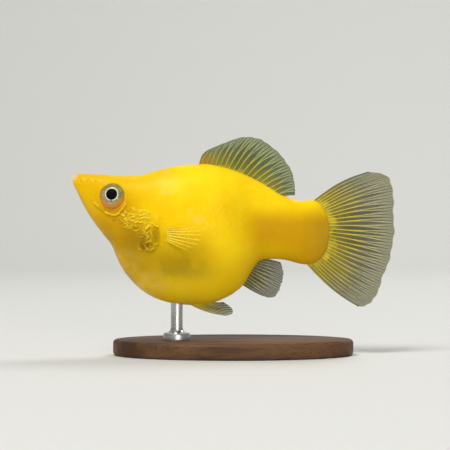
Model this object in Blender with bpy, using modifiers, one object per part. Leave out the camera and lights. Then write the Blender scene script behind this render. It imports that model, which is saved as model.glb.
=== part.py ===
"""Sailfin molly, a gold female of the round balloon form: a still, life-size model on a plain display stand.

The fish faces -X with its back up, and its left flank looks along -Y. Lengths are in metres. The origin is the
middle of the stand's underside.
"""

import math

import bmesh
import bpy
import numpy as np
from mathutils import Matrix, Vector

# Driving sizes
STANDARD_LENGTH = 0.0642  # snout tip to the end of the flesh at the tail fin
TOTAL_LENGTH = 0.0806  # snout tip to the rear edge of the tail fin
BODY_DEPTH = 0.0353  # back to belly at the deepest place
BODY_WIDTH = 0.0178  # flank to flank at the widest place
AXIS_HEIGHT = 0.0325  # floor to the fish's long axis
GAP = 0.0003  # left between pieces that meet

SNOUT_X = -TOTAL_LENGTH / 2
RINGS = 54
SPOKES = 36

# The body's outline: (share of the standard length, share of the body depth above the axis)
BACK_EDGE = (
    (0.000, 0.330), (0.012, 0.357), (0.070, 0.364), (0.140, 0.357), (0.226, 0.351), (0.273, 0.358), (0.319, 0.382),
    (0.374, 0.409), (0.436, 0.426), (0.498, 0.432), (0.561, 0.418), (0.623, 0.388), (0.693, 0.337), (0.755, 0.276),
    (0.810, 0.220), (0.857, 0.186), (0.903, 0.174), (0.936, 0.180), (0.974, 0.137), (1.000, 0.010),
)
BELLY_EDGE = (
    (0.000, 0.322), (0.012, 0.260), (0.058, 0.090), (0.105, -0.033), (0.140, -0.112), (0.155, -0.152),
    (0.175, -0.240), (0.222, -0.378), (0.296, -0.494), (0.389, -0.555), (0.483, -0.568), (0.561, -0.545),
    (0.623, -0.491), (0.670, -0.412), (0.697, -0.328), (0.722, -0.268), (0.763, -0.244), (0.826, -0.249),
    (0.899, -0.280), (0.935, -0.275), (0.963, -0.250), (0.988, -0.190), (1.000, -0.095),
)
# Where a section is widest, as a share of the depth above the axis, and its half width, as a share of the width
WIDEST_LEVEL = (
    (0.000, 0.328), (0.045, 0.235), (0.125, 0.130), (0.220, 0.035), (0.340, -0.060), (0.470, -0.130),
    (0.590, -0.120), (0.690, -0.040), (0.780, -0.015), (0.900, -0.040), (1.000, -0.042),
)
HALF_WIDTH = (
    (0.000, 0.070), (0.012, 0.110), (0.035, 0.152), (0.070, 0.196), (0.110, 0.238), (0.155, 0.282), (0.220, 0.334),
    (0.290, 0.386), (0.350, 0.428), (0.420, 0.478), (0.490, 0.500), (0.550, 0.486), (0.610, 0.424), (0.655, 0.340),
    (0.695, 0.266), (0.735, 0.226), (0.795, 0.197), (0.860, 0.168), (0.920, 0.126), (0.965, 0.082), (1.000, 0.046),
)
# How square a section is above and below its widest level: 2 is an ellipse
SQUARE_ABOVE = (
    (0.0, 2.3), (0.08, 3.0), (0.19, 3.0), (0.29, 2.4), (0.42, 2.0), (0.62, 1.95), (0.80, 2.1), (1.0, 2.2),
)
SQUARE_BELOW = (
    (0.0, 2.2), (0.13, 2.0), (0.20, 2.0), (0.32, 2.2), (0.50, 2.4), (0.66, 2.1), (0.80, 2.1), (1.0, 2.2),
)

# The seams and outlines below are (behind the snout tip, above the axis)
HEAD_SEAM = (
    (0.0168, 0.0170), (0.0184, 0.0105), (0.0197, 0.0050), (0.0205, 0.0000), (0.0202, -0.0040), (0.0184, -0.0064),
    (0.0155, -0.0070), (0.0126, -0.0062), (0.0098, -0.0049), (0.0060, -0.0036),
)
STALK_SEAM = ((0.0478, 0.0200), (0.0472, 0.0050), (0.0472, -0.0060), (0.0478, -0.0200))
MOUTH_LINE = ((0.0006, 0.0156), (0.0016, 0.0126), (0.0029, 0.0095))
JAW_SEAM = ((0.0033, 0.0078), (0.0031, 0.0064), (0.0020, 0.0046))
GILL_COVER = (
    (0.0136, 0.0022), (0.0153, 0.0049), (0.0182, 0.0057), (0.0209, 0.0040), (0.0223, 0.0004), (0.0224, -0.0032),
    (0.0210, -0.0064), (0.0182, -0.0083), (0.0151, -0.0079), (0.0133, -0.0050), (0.0130, -0.0014),
)
GILL_COVER_RISE = 0.00035
GILL_COVER_SINK = 0.00045

LIP_RADIUS = 0.00072
LIP_SINK = 0.00038
NOSTRIL_RADIUS = 0.00042
NOSTRIL_PLACE = (0.070, math.radians(58))  # share of the length, and angle up from the flank
EYE_PLACE = (0.161, 0.200)  # share of the length, and share of the depth above the axis
EYE_RADIUS = 0.0034
EYE_HALF_DEPTH = 0.0017
EYE_SINK = 0.0008

# Fins: each has a line of ray roots and a line of ray tips, both (behind the snout tip, above the axis)
RAY_THICKNESS = 0.0010
WEB_SHARE = 0.60  # the membrane's thickness as a share of a ray's
TIP_SHARE = 0.50  # the thickness at the margin as a share of that at the root
RAY_BREADTH = 0.20  # half a ray's breadth as a share of the space between rays
WEB_RETREAT = 0.020  # how far the membrane's margin falls short of the ray tips

DORSAL_RAYS = 14
DORSAL_ROOT = ((0.0316, 0.0140), (0.0380, 0.0130), (0.0448, 0.0106), (0.0522, 0.0066))
DORSAL_TIPS = (
    (0.0345, 0.0190), (0.0382, 0.0206), (0.0438, 0.0221), (0.0490, 0.0204), (0.0532, 0.0163),
    (0.0554, 0.0120), (0.0558, 0.0074),
)
DORSAL_BOW = (-0.0006, 0.0, 0.0008)  # how far the middle of the first ray bends from straight
DORSAL_LAST_BOW = (0.0, 0.0, 0.0003)
TAIL_RAYS = 19
TAIL_ROOT = (
    (0.0592, 0.0052), (0.0617, 0.0032), (0.0628, 0.0000), (0.0628, -0.0040), (0.0612, -0.0072),
    (0.0575, -0.0086),
)
TAIL_TIPS = (
    (0.0742, 0.0134), (0.0794, 0.0116), (0.0804, 0.0056), (0.0806, -0.0012), (0.0797, -0.0078), (0.0776, -0.0138),
    (0.0755, -0.0188), (0.0718, -0.0206),
)
ANAL_RAYS = 9
ANAL_ROOT = ((0.0412, -0.0140), (0.0428, -0.0118), (0.0440, -0.0098), (0.0452, -0.0082))
ANAL_TIPS = ((0.0478, -0.0178), (0.0506, -0.0180), (0.0522, -0.0154), (0.0529, -0.0122), (0.0522, -0.0093))
PELVIC_RAYS = 6
# The paired fins' points have the distance aside in their middle
PELVIC_ROOT = ((0.0292, 0.0020, -0.0196), (0.0330, 0.0013, -0.0184))
PELVIC_TIPS = (
    (0.0385, 0.0038, -0.0225), (0.0402, 0.0035, -0.0219), (0.0397, 0.0030, -0.0206), (0.0378, 0.0024, -0.0193),
)
PELVIC_BOW = (0.0, 0.0, -0.0005)
PECTORAL_RAYS = 10
PECTORAL_ROOT = ((0.0232, 0.0075, -0.0009), (0.0234, 0.0075, -0.0037))
PECTORAL_TIPS = (
    (0.0304, 0.0103, -0.0001), (0.0325, 0.0107, -0.0012), (0.0324, 0.0108, -0.0031), (0.0313, 0.0106, -0.0050),
    (0.0290, 0.0101, -0.0062),
)
PECTORAL_BOW = (0.0, 0.0008, 0.0)

STAND_LENGTH = 0.060
STAND_WIDTH = 0.036
STAND_THICKNESS = 0.004
STAND_EDGE = 0.0009
ROD_RADIUS = 0.0015
ROD_BEHIND_SNOUT = 0.0262
ROD_FOOT_RADIUS = 0.0034
ROD_FOOT_HEIGHT = 0.0013


def smooth_through(knots, values):
    """A natural cubic curve through the values at the knots, as a function. The values are numbers or points."""
    x = np.array(knots, float)
    y = np.array(values, float)
    step = np.diff(x)
    system = np.eye(len(x))
    change = np.zeros_like(y)
    for i in range(1, len(x) - 1):
        system[i, i - 1 : i + 2] = step[i - 1], 2 * (step[i - 1] + step[i]), step[i]
        change[i] = 6 * ((y[i + 1] - y[i]) / step[i] - (y[i] - y[i - 1]) / step[i - 1])
    bend = np.linalg.solve(system, change)

    def at(place):
        i = int(np.clip(np.searchsorted(x, place) - 1, 0, len(step) - 1))
        before = (x[i + 1] - place) / step[i]
        after = (place - x[i]) / step[i]
        bow = (before**3 - before) * bend[i] + (after**3 - after) * bend[i + 1]
        return before * y[i] + after * y[i + 1] + bow * step[i] ** 2 / 6

    return at


def turn_of(share):
    """The part of a half turn that a share of the body's length stands for, so that both ends come out rounded."""
    return math.acos(1 - 2 * min(max(share, 0.0), 1.0)) / math.pi


def body_curve(points):
    shares, values = zip(*points)
    curve = smooth_through([turn_of(share) for share in shares], values)
    return lambda share: float(curve(turn_of(share)))


back_edge = body_curve(BACK_EDGE)
belly_edge = body_curve(BELLY_EDGE)
widest_level = body_curve(WIDEST_LEVEL)
half_width = body_curve(HALF_WIDTH)
square_above = body_curve(SQUARE_ABOVE)
square_below = body_curve(SQUARE_BELOW)


def place(behind_snout, above_axis, aside=0.0):
    """A point of the model from its distance behind the snout tip, above the axis and aside of the middle."""
    return Vector((SNOUT_X + behind_snout, aside, AXIS_HEIGHT + above_axis))


def skin_point(share, angle):
    """A point of the skin at a share of the length. Angle 0 is the flank on +Y, and a quarter turn is the back."""
    across, up = math.cos(angle), math.sin(angle)
    edge, square = (back_edge(share), square_above(share)) if up >= 0 else (belly_edge(share), square_below(share))
    reach = (abs(across) ** square + abs(up) ** square) ** (-1 / square)
    level = widest_level(share)
    rise = abs(edge - level) * up * reach
    aside = BODY_WIDTH * half_width(share) * across * reach
    return place(share * STANDARD_LENGTH, BODY_DEPTH * (level + rise), aside)


def skin_normal(share, angle, step=0.002):
    """The skin's outward direction there."""
    along = skin_point(share + step, angle) - skin_point(share - step, angle)
    around = skin_point(share, angle + step) - skin_point(share, angle - step)
    return around.cross(along).normalized()


def halfway(low, high, is_low, rounds=40):
    """The place between low and high where is_low turns false."""
    for _ in range(rounds):
        middle = (low + high) / 2
        low, high = (middle, high) if is_low(middle) else (low, middle)
    return (low + high) / 2


def material(name, colour, roughness, metallic=0.0, alpha=1.0):
    made = bpy.data.materials.new(name)
    made.use_nodes = True
    shader = made.node_tree.nodes["Principled BSDF"]
    shader.inputs["Base Color"].default_value = (*colour, 1.0)
    shader.inputs["Roughness"].default_value = roughness
    shader.inputs["Metallic"].default_value = metallic
    shader.inputs["Alpha"].default_value = alpha
    made.diffuse_color = (*colour, alpha)
    return made


def new_collection(name):
    made = bpy.data.collections.new(name)
    bpy.context.scene.collection.children.link(made)
    return made


def face_outwards(bm):
    bm.normal_update()
    bmesh.ops.recalc_face_normals(bm, faces=bm.faces[:])
    bm.normal_update()


def mesh_object(name, bm, home):
    """An object from a bmesh, which is freed."""
    mesh = bpy.data.meshes.new(name)
    face_outwards(bm)
    bm.to_mesh(mesh)
    bm.free()
    made = bpy.data.objects.new(name, mesh)
    home.objects.link(made)
    return made


def fixed_mesh(obj):
    """The object's mesh, closed and facing outwards, with its modifiers applied and its place in its points."""
    bpy.context.view_layer.update()
    graph = bpy.context.evaluated_depsgraph_get()
    mesh = bpy.data.meshes.new_from_object(obj.evaluated_get(graph))
    mesh.transform(obj.matrix_world)
    bm = bmesh.new()
    bm.from_mesh(mesh)
    bmesh.ops.remove_doubles(bm, verts=bm.verts[:], dist=1e-7)
    face_outwards(bm)
    bm.to_mesh(mesh)
    bm.free()
    return mesh


def settle(obj):
    """Turns the object, curve or mesh, into a plain mesh object of the same name."""
    name, home, finish = obj.name, obj.users_collection[0], list(obj.data.materials)
    mesh = fixed_mesh(obj)
    bpy.data.objects.remove(obj)
    made = bpy.data.objects.new(name, mesh)
    mesh.name = name
    mesh.materials.clear()
    for one in finish:
        mesh.materials.append(one)
    home.objects.link(made)
    return made


def islands(bm):
    """The bmesh's separate surfaces, as lists of faces."""
    left, found = set(bm.faces), []
    while left:
        start = left.pop()
        island, todo = [start], [start]
        while todo:
            for edge in todo.pop().edges:
                for face in edge.link_faces:
                    if face in left:
                        left.remove(face)
                        island.append(face)
                        todo.append(face)
        found.append(island)
    return found


def surface_volume(faces):
    """The volume that closed faces hold."""
    total = 0.0
    for face in faces:
        first = face.verts[0].co
        for a, b in zip(face.verts[1:], face.verts[2:]):
            total += first.dot(a.co.cross(b.co)) / 6
    return abs(total)


def keep_largest(obj):
    bm = bmesh.new()
    bm.from_mesh(obj.data)
    scraps = sorted(islands(bm), key=surface_volume)[:-1]
    bmesh.ops.delete(bm, geom=[face for scrap in scraps for face in scrap], context="FACES")
    bm.to_mesh(obj.data)
    bm.free()


def combine(obj, operation, others, solver="EXACT"):
    """Joins the others to the object, or cuts them from it or keeps what they share, and removes them."""
    if obj.modifiers:
        obj = settle(obj)
    for other in others:
        boolean = obj.modifiers.new(f"{operation} {other.name}", "BOOLEAN")
        boolean.operation = operation
        boolean.object = other
        boolean.solver = solver
    made = settle(obj)
    for other in others:
        bpy.data.objects.remove(other)
    return made


def grown_body(home, grow):
    """The whole body as one closed skin, grown outwards all over: a UV sphere drawn out to the body's sections."""
    bm = bmesh.new()
    bmesh.ops.create_uvsphere(bm, u_segments=SPOKES, v_segments=RINGS, radius=1.0)
    for vert in bm.verts:
        share = (1 - vert.co.z) / 2
        if abs(vert.co.z) > 1 - 1e-6:
            vert.co = (skin_point(share, 0) + skin_point(share, math.pi)) / 2
        else:
            vert.co = skin_point(share, math.atan2(vert.co.y, vert.co.x))
    face_outwards(bm)
    for vert in bm.verts:
        vert.co += vert.normal * grow
    return mesh_object("body", bm, home)


def upright_prism(name, outline, near, far, home):
    """A closed outline in the middle plane, filled and drawn out from near to far aside of it."""
    curve = bpy.data.curves.new(name, "CURVE")
    curve.dimensions = "2D"
    curve.fill_mode = "BOTH"
    curve.extrude = (far - near) / 2
    spline = curve.splines.new("POLY")
    spline.points.add(len(outline) - 1)
    for point, (behind, above) in zip(spline.points, outline):
        point.co = (behind, above, 0.0, 1.0)
    spline.use_cyclic_u = True
    made = bpy.data.objects.new(name, curve)
    home.objects.link(made)
    made.matrix_world = Matrix.Translation(place(0, 0, (near + far) / 2)) @ Matrix.Rotation(math.pi / 2, 4, "X")
    return settle(made)


def line_through(points, count, closed=False):
    """Points spaced along a smooth line through the named ones."""
    run = [*points, points[0]] if closed else list(points)
    if closed:  # the line overlaps itself at both ends, so that it closes smoothly
        run = [*points[-2:], *points, *points[:3]]
    reach = [0.0]
    for a, b in zip(run, run[1:]):
        reach.append(reach[-1] + math.dist(a, b))
    curve = smooth_through(reach, run)
    first, last = (reach[2], reach[len(points) + 2]) if closed else (0.0, reach[-1])
    steps = count if closed else count - 1
    return [curve(first + (last - first) * i / steps) for i in range(count)]


def thin_wall(name, points, count, home):
    """A wall one gap thick across the whole body, along a smooth seam."""
    line = [Vector(point) for point in line_through(points, count)]
    sides = []
    for i, point in enumerate(line):
        run = (line[min(i + 1, count - 1)] - line[max(i - 1, 0)]).normalized()
        sides.append(Vector((-run.y, run.x)) * GAP / 2)
    outline = [a + b for a, b in zip(line, sides)] + [a - b for a, b in zip(reversed(line), reversed(sides))]
    return upright_prism(name, outline, -BODY_WIDTH, BODY_WIDTH, home)


def ball(name, centre, radii, facing, home, segments=24):
    """An ellipsoid whose last radius points along facing."""
    bm = bmesh.new()
    bmesh.ops.create_uvsphere(bm, u_segments=segments, v_segments=segments // 2, radius=1.0)
    turn = facing.to_track_quat("Z", "Y").to_matrix().to_4x4()
    shape = Matrix.Translation(centre) @ turn @ Matrix.Diagonal((*radii, 1.0))
    bmesh.ops.transform(bm, matrix=shape, verts=bm.verts[:])
    return mesh_object(name, bm, home)


def on_side(point, side):
    """The same point on the left (side -1) or the right (side 1)."""
    return Vector((point.x, abs(point.y) * side, point.z))


def eye_frame(side):
    """The eye's centre and the way that it looks."""
    share, level = EYE_PLACE
    height = AXIS_HEIGHT + BODY_DEPTH * level
    angle = halfway(-math.pi / 2, math.pi / 2, lambda a: skin_point(share, a).z < height)
    outward = skin_normal(share, angle)
    centre = skin_point(share, angle) - outward * EYE_SINK
    return on_side(centre, side), on_side(outward, side)


def eyeball(name, side, grow, home):
    centre, outward = eye_frame(side)
    radii = (EYE_RADIUS + grow, EYE_RADIUS + grow, EYE_HALF_DEPTH + grow)
    return ball(name, centre, radii, outward, home)


def nostril(side, home):
    point, outward = skin_point(*NOSTRIL_PLACE), skin_normal(*NOSTRIL_PLACE)
    radii = (NOSTRIL_RADIUS * 0.7, NOSTRIL_RADIUS, NOSTRIL_RADIUS * 1.4)
    return ball("nostril", on_side(point, side), radii, on_side(outward, side), home, segments=10)


def lips(home):
    """One bead round the mouth, from corner to corner over the snout, which the mouth line then parts in two."""
    line = np.array(line_through(MOUTH_LINE + JAW_SEAM, 24))
    line = line[: int(np.argmin(np.abs(line[:, 1] - MOUTH_LINE[-1][1]))) + 1]
    corner_height = AXIS_HEIGHT + MOUTH_LINE[-1][1]

    def share_on_line(angle):
        def ahead(share):
            point = skin_point(share, angle)
            return point.x - SNOUT_X < np.interp(AXIS_HEIGHT - point.z, -line[:, 1], line[:, 0])

        return halfway(0.0, 0.12, ahead)

    corner = halfway(-0.5, math.pi / 2, lambda a: skin_point(share_on_line(a), a).z < corner_height)
    count = 15
    curve = bpy.data.curves.new("lips", "CURVE")
    curve.dimensions = "3D"
    curve.bevel_depth = LIP_RADIUS
    curve.bevel_resolution = 2
    curve.use_fill_caps = True
    spline = curve.splines.new("POLY")
    spline.points.add(count - 1)
    for i, point in enumerate(spline.points):
        angle = corner + (math.pi - 2 * corner) * i / (count - 1)
        share = share_on_line(angle)
        point.co = (*(skin_point(share, angle) - skin_normal(share, angle) * LIP_SINK), 1.0)
        point.radius = 0.5 + 0.5 * math.sin(math.pi * i / (count - 1)) ** 0.5
    made = bpy.data.objects.new("lips", curve)
    home.objects.link(made)
    return settle(made)


def gill_cover(name, side, home):
    """A thin plate that lies in the cheek and stands a little proud of it."""
    outline = line_through(GILL_COVER, 36, closed=True)
    near, far = sorted((side * 0.002, side * BODY_WIDTH))
    plate = upright_prism(name, outline, near, far, home)
    plate = combine(plate, "INTERSECT", [grown_body(home, GILL_COVER_RISE)], "MANIFOLD")
    return combine(plate, "DIFFERENCE", [grown_body(home, -GILL_COVER_SINK)], "MANIFOLD")


def gill_recess(side, home):
    """The cut in the cheek that a gill cover lies in, one gap larger all round."""
    line = line_through(GILL_COVER, 36, closed=True)
    middle = sum(line) / len(line)
    outline = [point + (point - middle) / np.linalg.norm(point - middle) * GAP for point in line]
    near, far = sorted((side * 0.0017, side * BODY_WIDTH))
    prism = upright_prism("recess", outline, near, far, home)
    return combine(prism, "DIFFERENCE", [grown_body(home, -GILL_COVER_SINK - GAP)], "MANIFOLD")


def body_parts(home, finish):
    """The whole body, carved, and parted by thin cuts into the lower jaw, head, trunk and tail stalk."""
    whole = combine(grown_body(home, 0.0), "UNION", [lips(home)])
    carving = [thin_wall("mouth and jaw", MOUTH_LINE + JAW_SEAM, 12, home)]
    carving.append(thin_wall("head seam", HEAD_SEAM, 24, home))
    carving.append(thin_wall("stalk seam", STALK_SEAM, 6, home))
    for side in (-1, 1):
        carving.append(eyeball("socket", side, GAP, home))
        carving.append(nostril(side, home))
        carving.append(gill_recess(side, home))
    whole = combine(whole, "DIFFERENCE", carving, "MANIFOLD")
    bm = bmesh.new()
    bm.from_mesh(whole.data)
    pieces = sorted(islands(bm), key=surface_volume)[-4:]
    pieces.sort(key=lambda faces: sum(face.calc_center_median().x for face in faces) / len(faces))
    for name, faces in zip(("lower_jaw", "head", "trunk", "tail_stalk"), pieces):
        part = bm.copy()
        keep = {face.index for face in faces}
        part.faces.ensure_lookup_table()
        bmesh.ops.delete(part, geom=[face for face in part.faces if face.index not in keep], context="FACES")
        mesh_object(name, part, home).data.materials.append(finish)
    bm.free()
    bpy.data.objects.remove(whole)


def fin_line(points):
    """A smooth line through a fin's points, as a function of the share of the way along it."""
    placed = [place(point[0], point[-1], point[1] if len(point) > 2 else 0) for point in points]
    return smooth_through(np.linspace(0, 1, len(points)), placed)


def fin(name, rays, rows, root, tips, finish, home, bow=(0, 0, 0), last_bow=None, spread=0.0, sway=0.0,
        root_swell=1.0):
    """A fin: a grid drawn out along its rays and thickened, more along each ray, so that the rays are ridges.

    bow bends the middle of every ray, or from the first ray's bow to last_bow where that is given. spread bends
    the outer rays apart, and sway waves the free margin.
    """
    root_line, tip_line = fin_line(root), fin_line(tips)
    first_bend, last_bend = np.array(bow, float), np.array(last_bow or bow, float)
    columns = []
    for ray in range(rays):
        for offset in (-RAY_BREADTH, 0.0, RAY_BREADTH):
            across = (ray + offset) / (rays - 1)
            if 0 <= across <= 1:
                columns.append((across, offset == 0.0))
    bm = bmesh.new()
    bmesh.ops.create_grid(bm, x_segments=len(columns) - 1, y_segments=rows, size=1.0)
    bmesh.ops.triangulate(bm, faces=bm.faces[:])
    thickness = []
    bm.verts.ensure_lookup_table()
    for vert in bm.verts:
        across, is_ray = columns[round((vert.co.x + 1) / 2 * (len(columns) - 1))]
        out = (vert.co.y + 1) / 2
        reach = out if is_ray else out * (1 - WEB_RETREAT)
        straight = root_line(across) * (1 - reach) + tip_line(across) * reach
        bend = first_bend * (1 - across) + last_bend * across + np.array((0.0, 0.0, spread * (1 - 2 * across)))
        wave = np.array((0.0, sway * reach**2 * math.sin(2 * math.pi * across), 0.0))
        vert.co = straight + bend * math.sin(math.pi * reach) + wave
        swell = 1 + (root_swell - 1) * max(0.0, 1 - 4 * out)
        taper = 1 - (1 - TIP_SHARE) * out
        thickness.append((1.0 if is_ray else WEB_SHARE) * taper * swell / root_swell)
    made = mesh_object(name, bm, home)
    group = made.vertex_groups.new(name="thickness")
    for index, weight in enumerate(thickness):
        group.add([index], weight, "REPLACE")
    shell = made.modifiers.new("thickness", "SOLIDIFY")
    shell.thickness = RAY_THICKNESS * root_swell
    shell.offset = 0.0
    shell.vertex_group = group.name
    made = combine(made, "DIFFERENCE", [grown_body(home, GAP)], "MANIFOLD")
    keep_largest(made)
    made.data.materials.append(finish)
    return made


def mirrored(points, side):
    return [(behind, aside * side, above) for behind, aside, above in points]


def fins(home, finish):
    fin("dorsal_fin", DORSAL_RAYS, 6, DORSAL_ROOT, DORSAL_TIPS, finish, home, DORSAL_BOW, DORSAL_LAST_BOW, sway=0.0004)
    fin("tail_fin", TAIL_RAYS, 8, TAIL_ROOT, TAIL_TIPS, finish, home, spread=0.0012, sway=-0.0006)
    fin("anal_fin", ANAL_RAYS, 5, ANAL_ROOT, ANAL_TIPS, finish, home)
    for word, side in (("left", -1), ("right", 1)):
        root, tips, bow = (mirrored(points, side) for points in (PELVIC_ROOT, PELVIC_TIPS, (PELVIC_BOW,)))
        fin(f"pelvic_fin_{word}", PELVIC_RAYS, 5, root, tips, finish, home, bow[0])
        root, tips, bow = (mirrored(points, side) for points in (PECTORAL_ROOT, PECTORAL_TIPS, (PECTORAL_BOW,)))
        fin(f"pectoral_fin_{word}", PECTORAL_RAYS, 6, root, tips, finish, home, bow[0], root_swell=1.3)


def stand(home, wood, steel):
    """A flat oval base, and a turned rod with a foot that runs up to the belly."""
    bm = bmesh.new()
    bmesh.ops.create_cone(bm, cap_ends=True, segments=44, radius1=0.5, radius2=0.5, depth=1.0)
    size = Matrix.Diagonal((STAND_LENGTH, STAND_WIDTH, STAND_THICKNESS, 1.0))
    bmesh.ops.transform(bm, matrix=Matrix.Translation((0, 0, STAND_THICKNESS / 2)) @ size, verts=bm.verts[:])
    base = mesh_object("stand_base", bm, home)
    base.data.materials.append(wood)
    edge = base.modifiers.new("rounded edge", "BEVEL")
    edge.width = STAND_EDGE
    edge.segments = 2
    edge.limit_method = "ANGLE"

    foot = STAND_THICKNESS + GAP
    rim = foot + ROD_FOOT_HEIGHT
    top = AXIS_HEIGHT - BODY_DEPTH / 2
    profile = (
        (0.0, top), (ROD_RADIUS, top), (ROD_RADIUS, rim + 0.0010), (ROD_RADIUS * 1.3, rim),
        (ROD_FOOT_RADIUS * 0.9, rim), (ROD_FOOT_RADIUS, rim - 0.0004), (ROD_FOOT_RADIUS, foot), (0.0, foot),
    )
    bm = bmesh.new()
    points = [bm.verts.new((radius, 0.0, height)) for radius, height in profile]
    for a, b in zip(points, points[1:]):
        bm.edges.new((a, b))
    rod = mesh_object("stand_rod", bm, home)
    rod.location.x = SNOUT_X + ROD_BEHIND_SNOUT
    turn = rod.modifiers.new("turned", "SCREW")
    turn.steps = turn.render_steps = 28
    turn.use_merge_vertices = True
    turn.merge_threshold = 1e-5
    rod = combine(rod, "DIFFERENCE", [grown_body(home, GAP)], "MANIFOLD")
    keep_largest(rod)
    rod.data.materials.append(steel)


def main():
    for old in list(bpy.data.objects):
        bpy.data.objects.remove(old)
    home = new_collection("sailfin_molly")
    gold = material("gold skin", (0.93, 0.58, 0.01), 0.35)
    membrane = material("fin membrane", (0.55, 0.50, 0.12), 0.4, alpha=0.7)
    iris = material("silver iris", (0.62, 0.60, 0.50), 0.15)
    walnut = material("walnut", (0.10, 0.05, 0.025), 0.45)
    steel = material("steel", (0.60, 0.60, 0.60), 0.3, metallic=1.0)
    body_parts(home, gold)
    for word, side in (("left", -1), ("right", 1)):
        gill_cover(f"gill_cover_{word}", side, home).data.materials.append(gold)
        eyeball(f"eye_{word}", side, 0.0, home).data.materials.append(iris)
    fins(home, membrane)
    stand(home, walnut, steel)
    for obj in home.objects:
        obj.data.shade_smooth()
        obj.data.set_sharp_from_angle(angle=math.radians(40))


main()
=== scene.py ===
import math

import bmesh
import bpy
import numpy as np
from mathutils import Matrix, Vector, noise


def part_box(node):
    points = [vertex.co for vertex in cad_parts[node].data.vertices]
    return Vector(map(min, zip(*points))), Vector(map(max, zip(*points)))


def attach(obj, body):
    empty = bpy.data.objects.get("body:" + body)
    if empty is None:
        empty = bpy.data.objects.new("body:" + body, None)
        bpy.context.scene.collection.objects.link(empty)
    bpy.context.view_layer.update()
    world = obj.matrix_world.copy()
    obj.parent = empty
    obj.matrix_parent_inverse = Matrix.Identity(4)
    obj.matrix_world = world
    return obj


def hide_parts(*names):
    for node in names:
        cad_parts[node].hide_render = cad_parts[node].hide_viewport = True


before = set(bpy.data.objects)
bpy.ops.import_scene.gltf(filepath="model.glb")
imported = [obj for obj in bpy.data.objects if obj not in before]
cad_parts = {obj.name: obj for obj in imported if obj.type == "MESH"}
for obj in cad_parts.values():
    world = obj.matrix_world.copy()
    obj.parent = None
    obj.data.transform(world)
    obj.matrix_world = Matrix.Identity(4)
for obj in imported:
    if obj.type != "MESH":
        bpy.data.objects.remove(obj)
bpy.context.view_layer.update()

# The molly's skin. The whole body, from the lips to the end of the tail stalk, is one wet, glossy, golden
# skin over soft flesh. The mouth, the nostrils, the eye sockets, the folds under the eye and the edges of
# the gill covers are raised or sunk in it, and the fins and the eyes grow out of it.
SNOUT_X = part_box("lower_jaw")[0][0]
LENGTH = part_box("tail_stalk")[1][0] - SNOUT_X
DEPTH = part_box("trunk")[1][2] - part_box("trunk")[0][2]
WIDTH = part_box("trunk")[1][1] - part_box("trunk")[0][1]
BELLY_DROP = 0.568  # how far the belly hangs below the axis, in depths
AXIS_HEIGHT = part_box("trunk")[0][2] + BELLY_DROP * DEPTH
MEASURED_LENGTH = 0.0642
FIT = LENGTH / MEASURED_LENGTH  # the distances below are for a body of the measured length
SKIN_RINGS = 384
SKIN_SPOKES = 256
SCALE_DEPTH = 0.00012  # the scales take up this much at the surface
UNWRAP_ROUND = 0.98  # the share of the unwrap's height that the way round the body takes

# The plain body, by shares of its length: how high the back, the belly and the widest level stand above the
# axis, in depths, and half of its width, in widths
BACK_EDGE = (
    (0.000, 0.330), (0.012, 0.357), (0.070, 0.364), (0.140, 0.357), (0.226, 0.351), (0.273, 0.358),
    (0.319, 0.382), (0.374, 0.409), (0.436, 0.426), (0.498, 0.432), (0.561, 0.418), (0.623, 0.388),
    (0.693, 0.337), (0.755, 0.276), (0.810, 0.220), (0.857, 0.186), (0.903, 0.174), (0.936, 0.180),
    (0.974, 0.137), (1.000, 0.010),
)
BELLY_EDGE = (
    (0.000, 0.322), (0.012, 0.260), (0.058, 0.090), (0.105, -0.033), (0.140, -0.112), (0.155, -0.152),
    (0.175, -0.240), (0.222, -0.378), (0.296, -0.494), (0.389, -0.555), (0.483, -0.568), (0.561, -0.545),
    (0.623, -0.491), (0.670, -0.412), (0.697, -0.328), (0.722, -0.268), (0.763, -0.244), (0.826, -0.249),
    (0.899, -0.280), (0.935, -0.275), (0.963, -0.250), (0.988, -0.190), (1.000, -0.095),
)
WIDEST_LEVEL = (
    (0.000, 0.328), (0.045, 0.235), (0.125, 0.130), (0.220, 0.035), (0.340, -0.060), (0.470, -0.130),
    (0.590, -0.120), (0.690, -0.040), (0.780, -0.015), (0.900, -0.040), (1.000, -0.042),
)
HALF_WIDTH = (
    (0.000, 0.070), (0.012, 0.110), (0.035, 0.152), (0.070, 0.196), (0.110, 0.238), (0.155, 0.282),
    (0.220, 0.334), (0.290, 0.386), (0.350, 0.428), (0.420, 0.478), (0.490, 0.500), (0.550, 0.486),
    (0.610, 0.424), (0.655, 0.340), (0.695, 0.266), (0.735, 0.226), (0.795, 0.197), (0.860, 0.168),
    (0.920, 0.126), (0.965, 0.082), (1.000, 0.046),
)
# How square its section is above and below the widest level, where 2 gives an ellipse
SQUARE_ABOVE = (
    (0.0, 2.3), (0.08, 3.0), (0.19, 3.0), (0.29, 2.4), (0.42, 2.0), (0.62, 1.95), (0.80, 2.1), (1.0, 2.2),
)
SQUARE_BELOW = (
    (0.0, 2.2), (0.13, 2.0), (0.20, 2.0), (0.32, 2.2), (0.50, 2.4), (0.66, 2.1), (0.80, 2.1), (1.0, 2.2),
)

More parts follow.
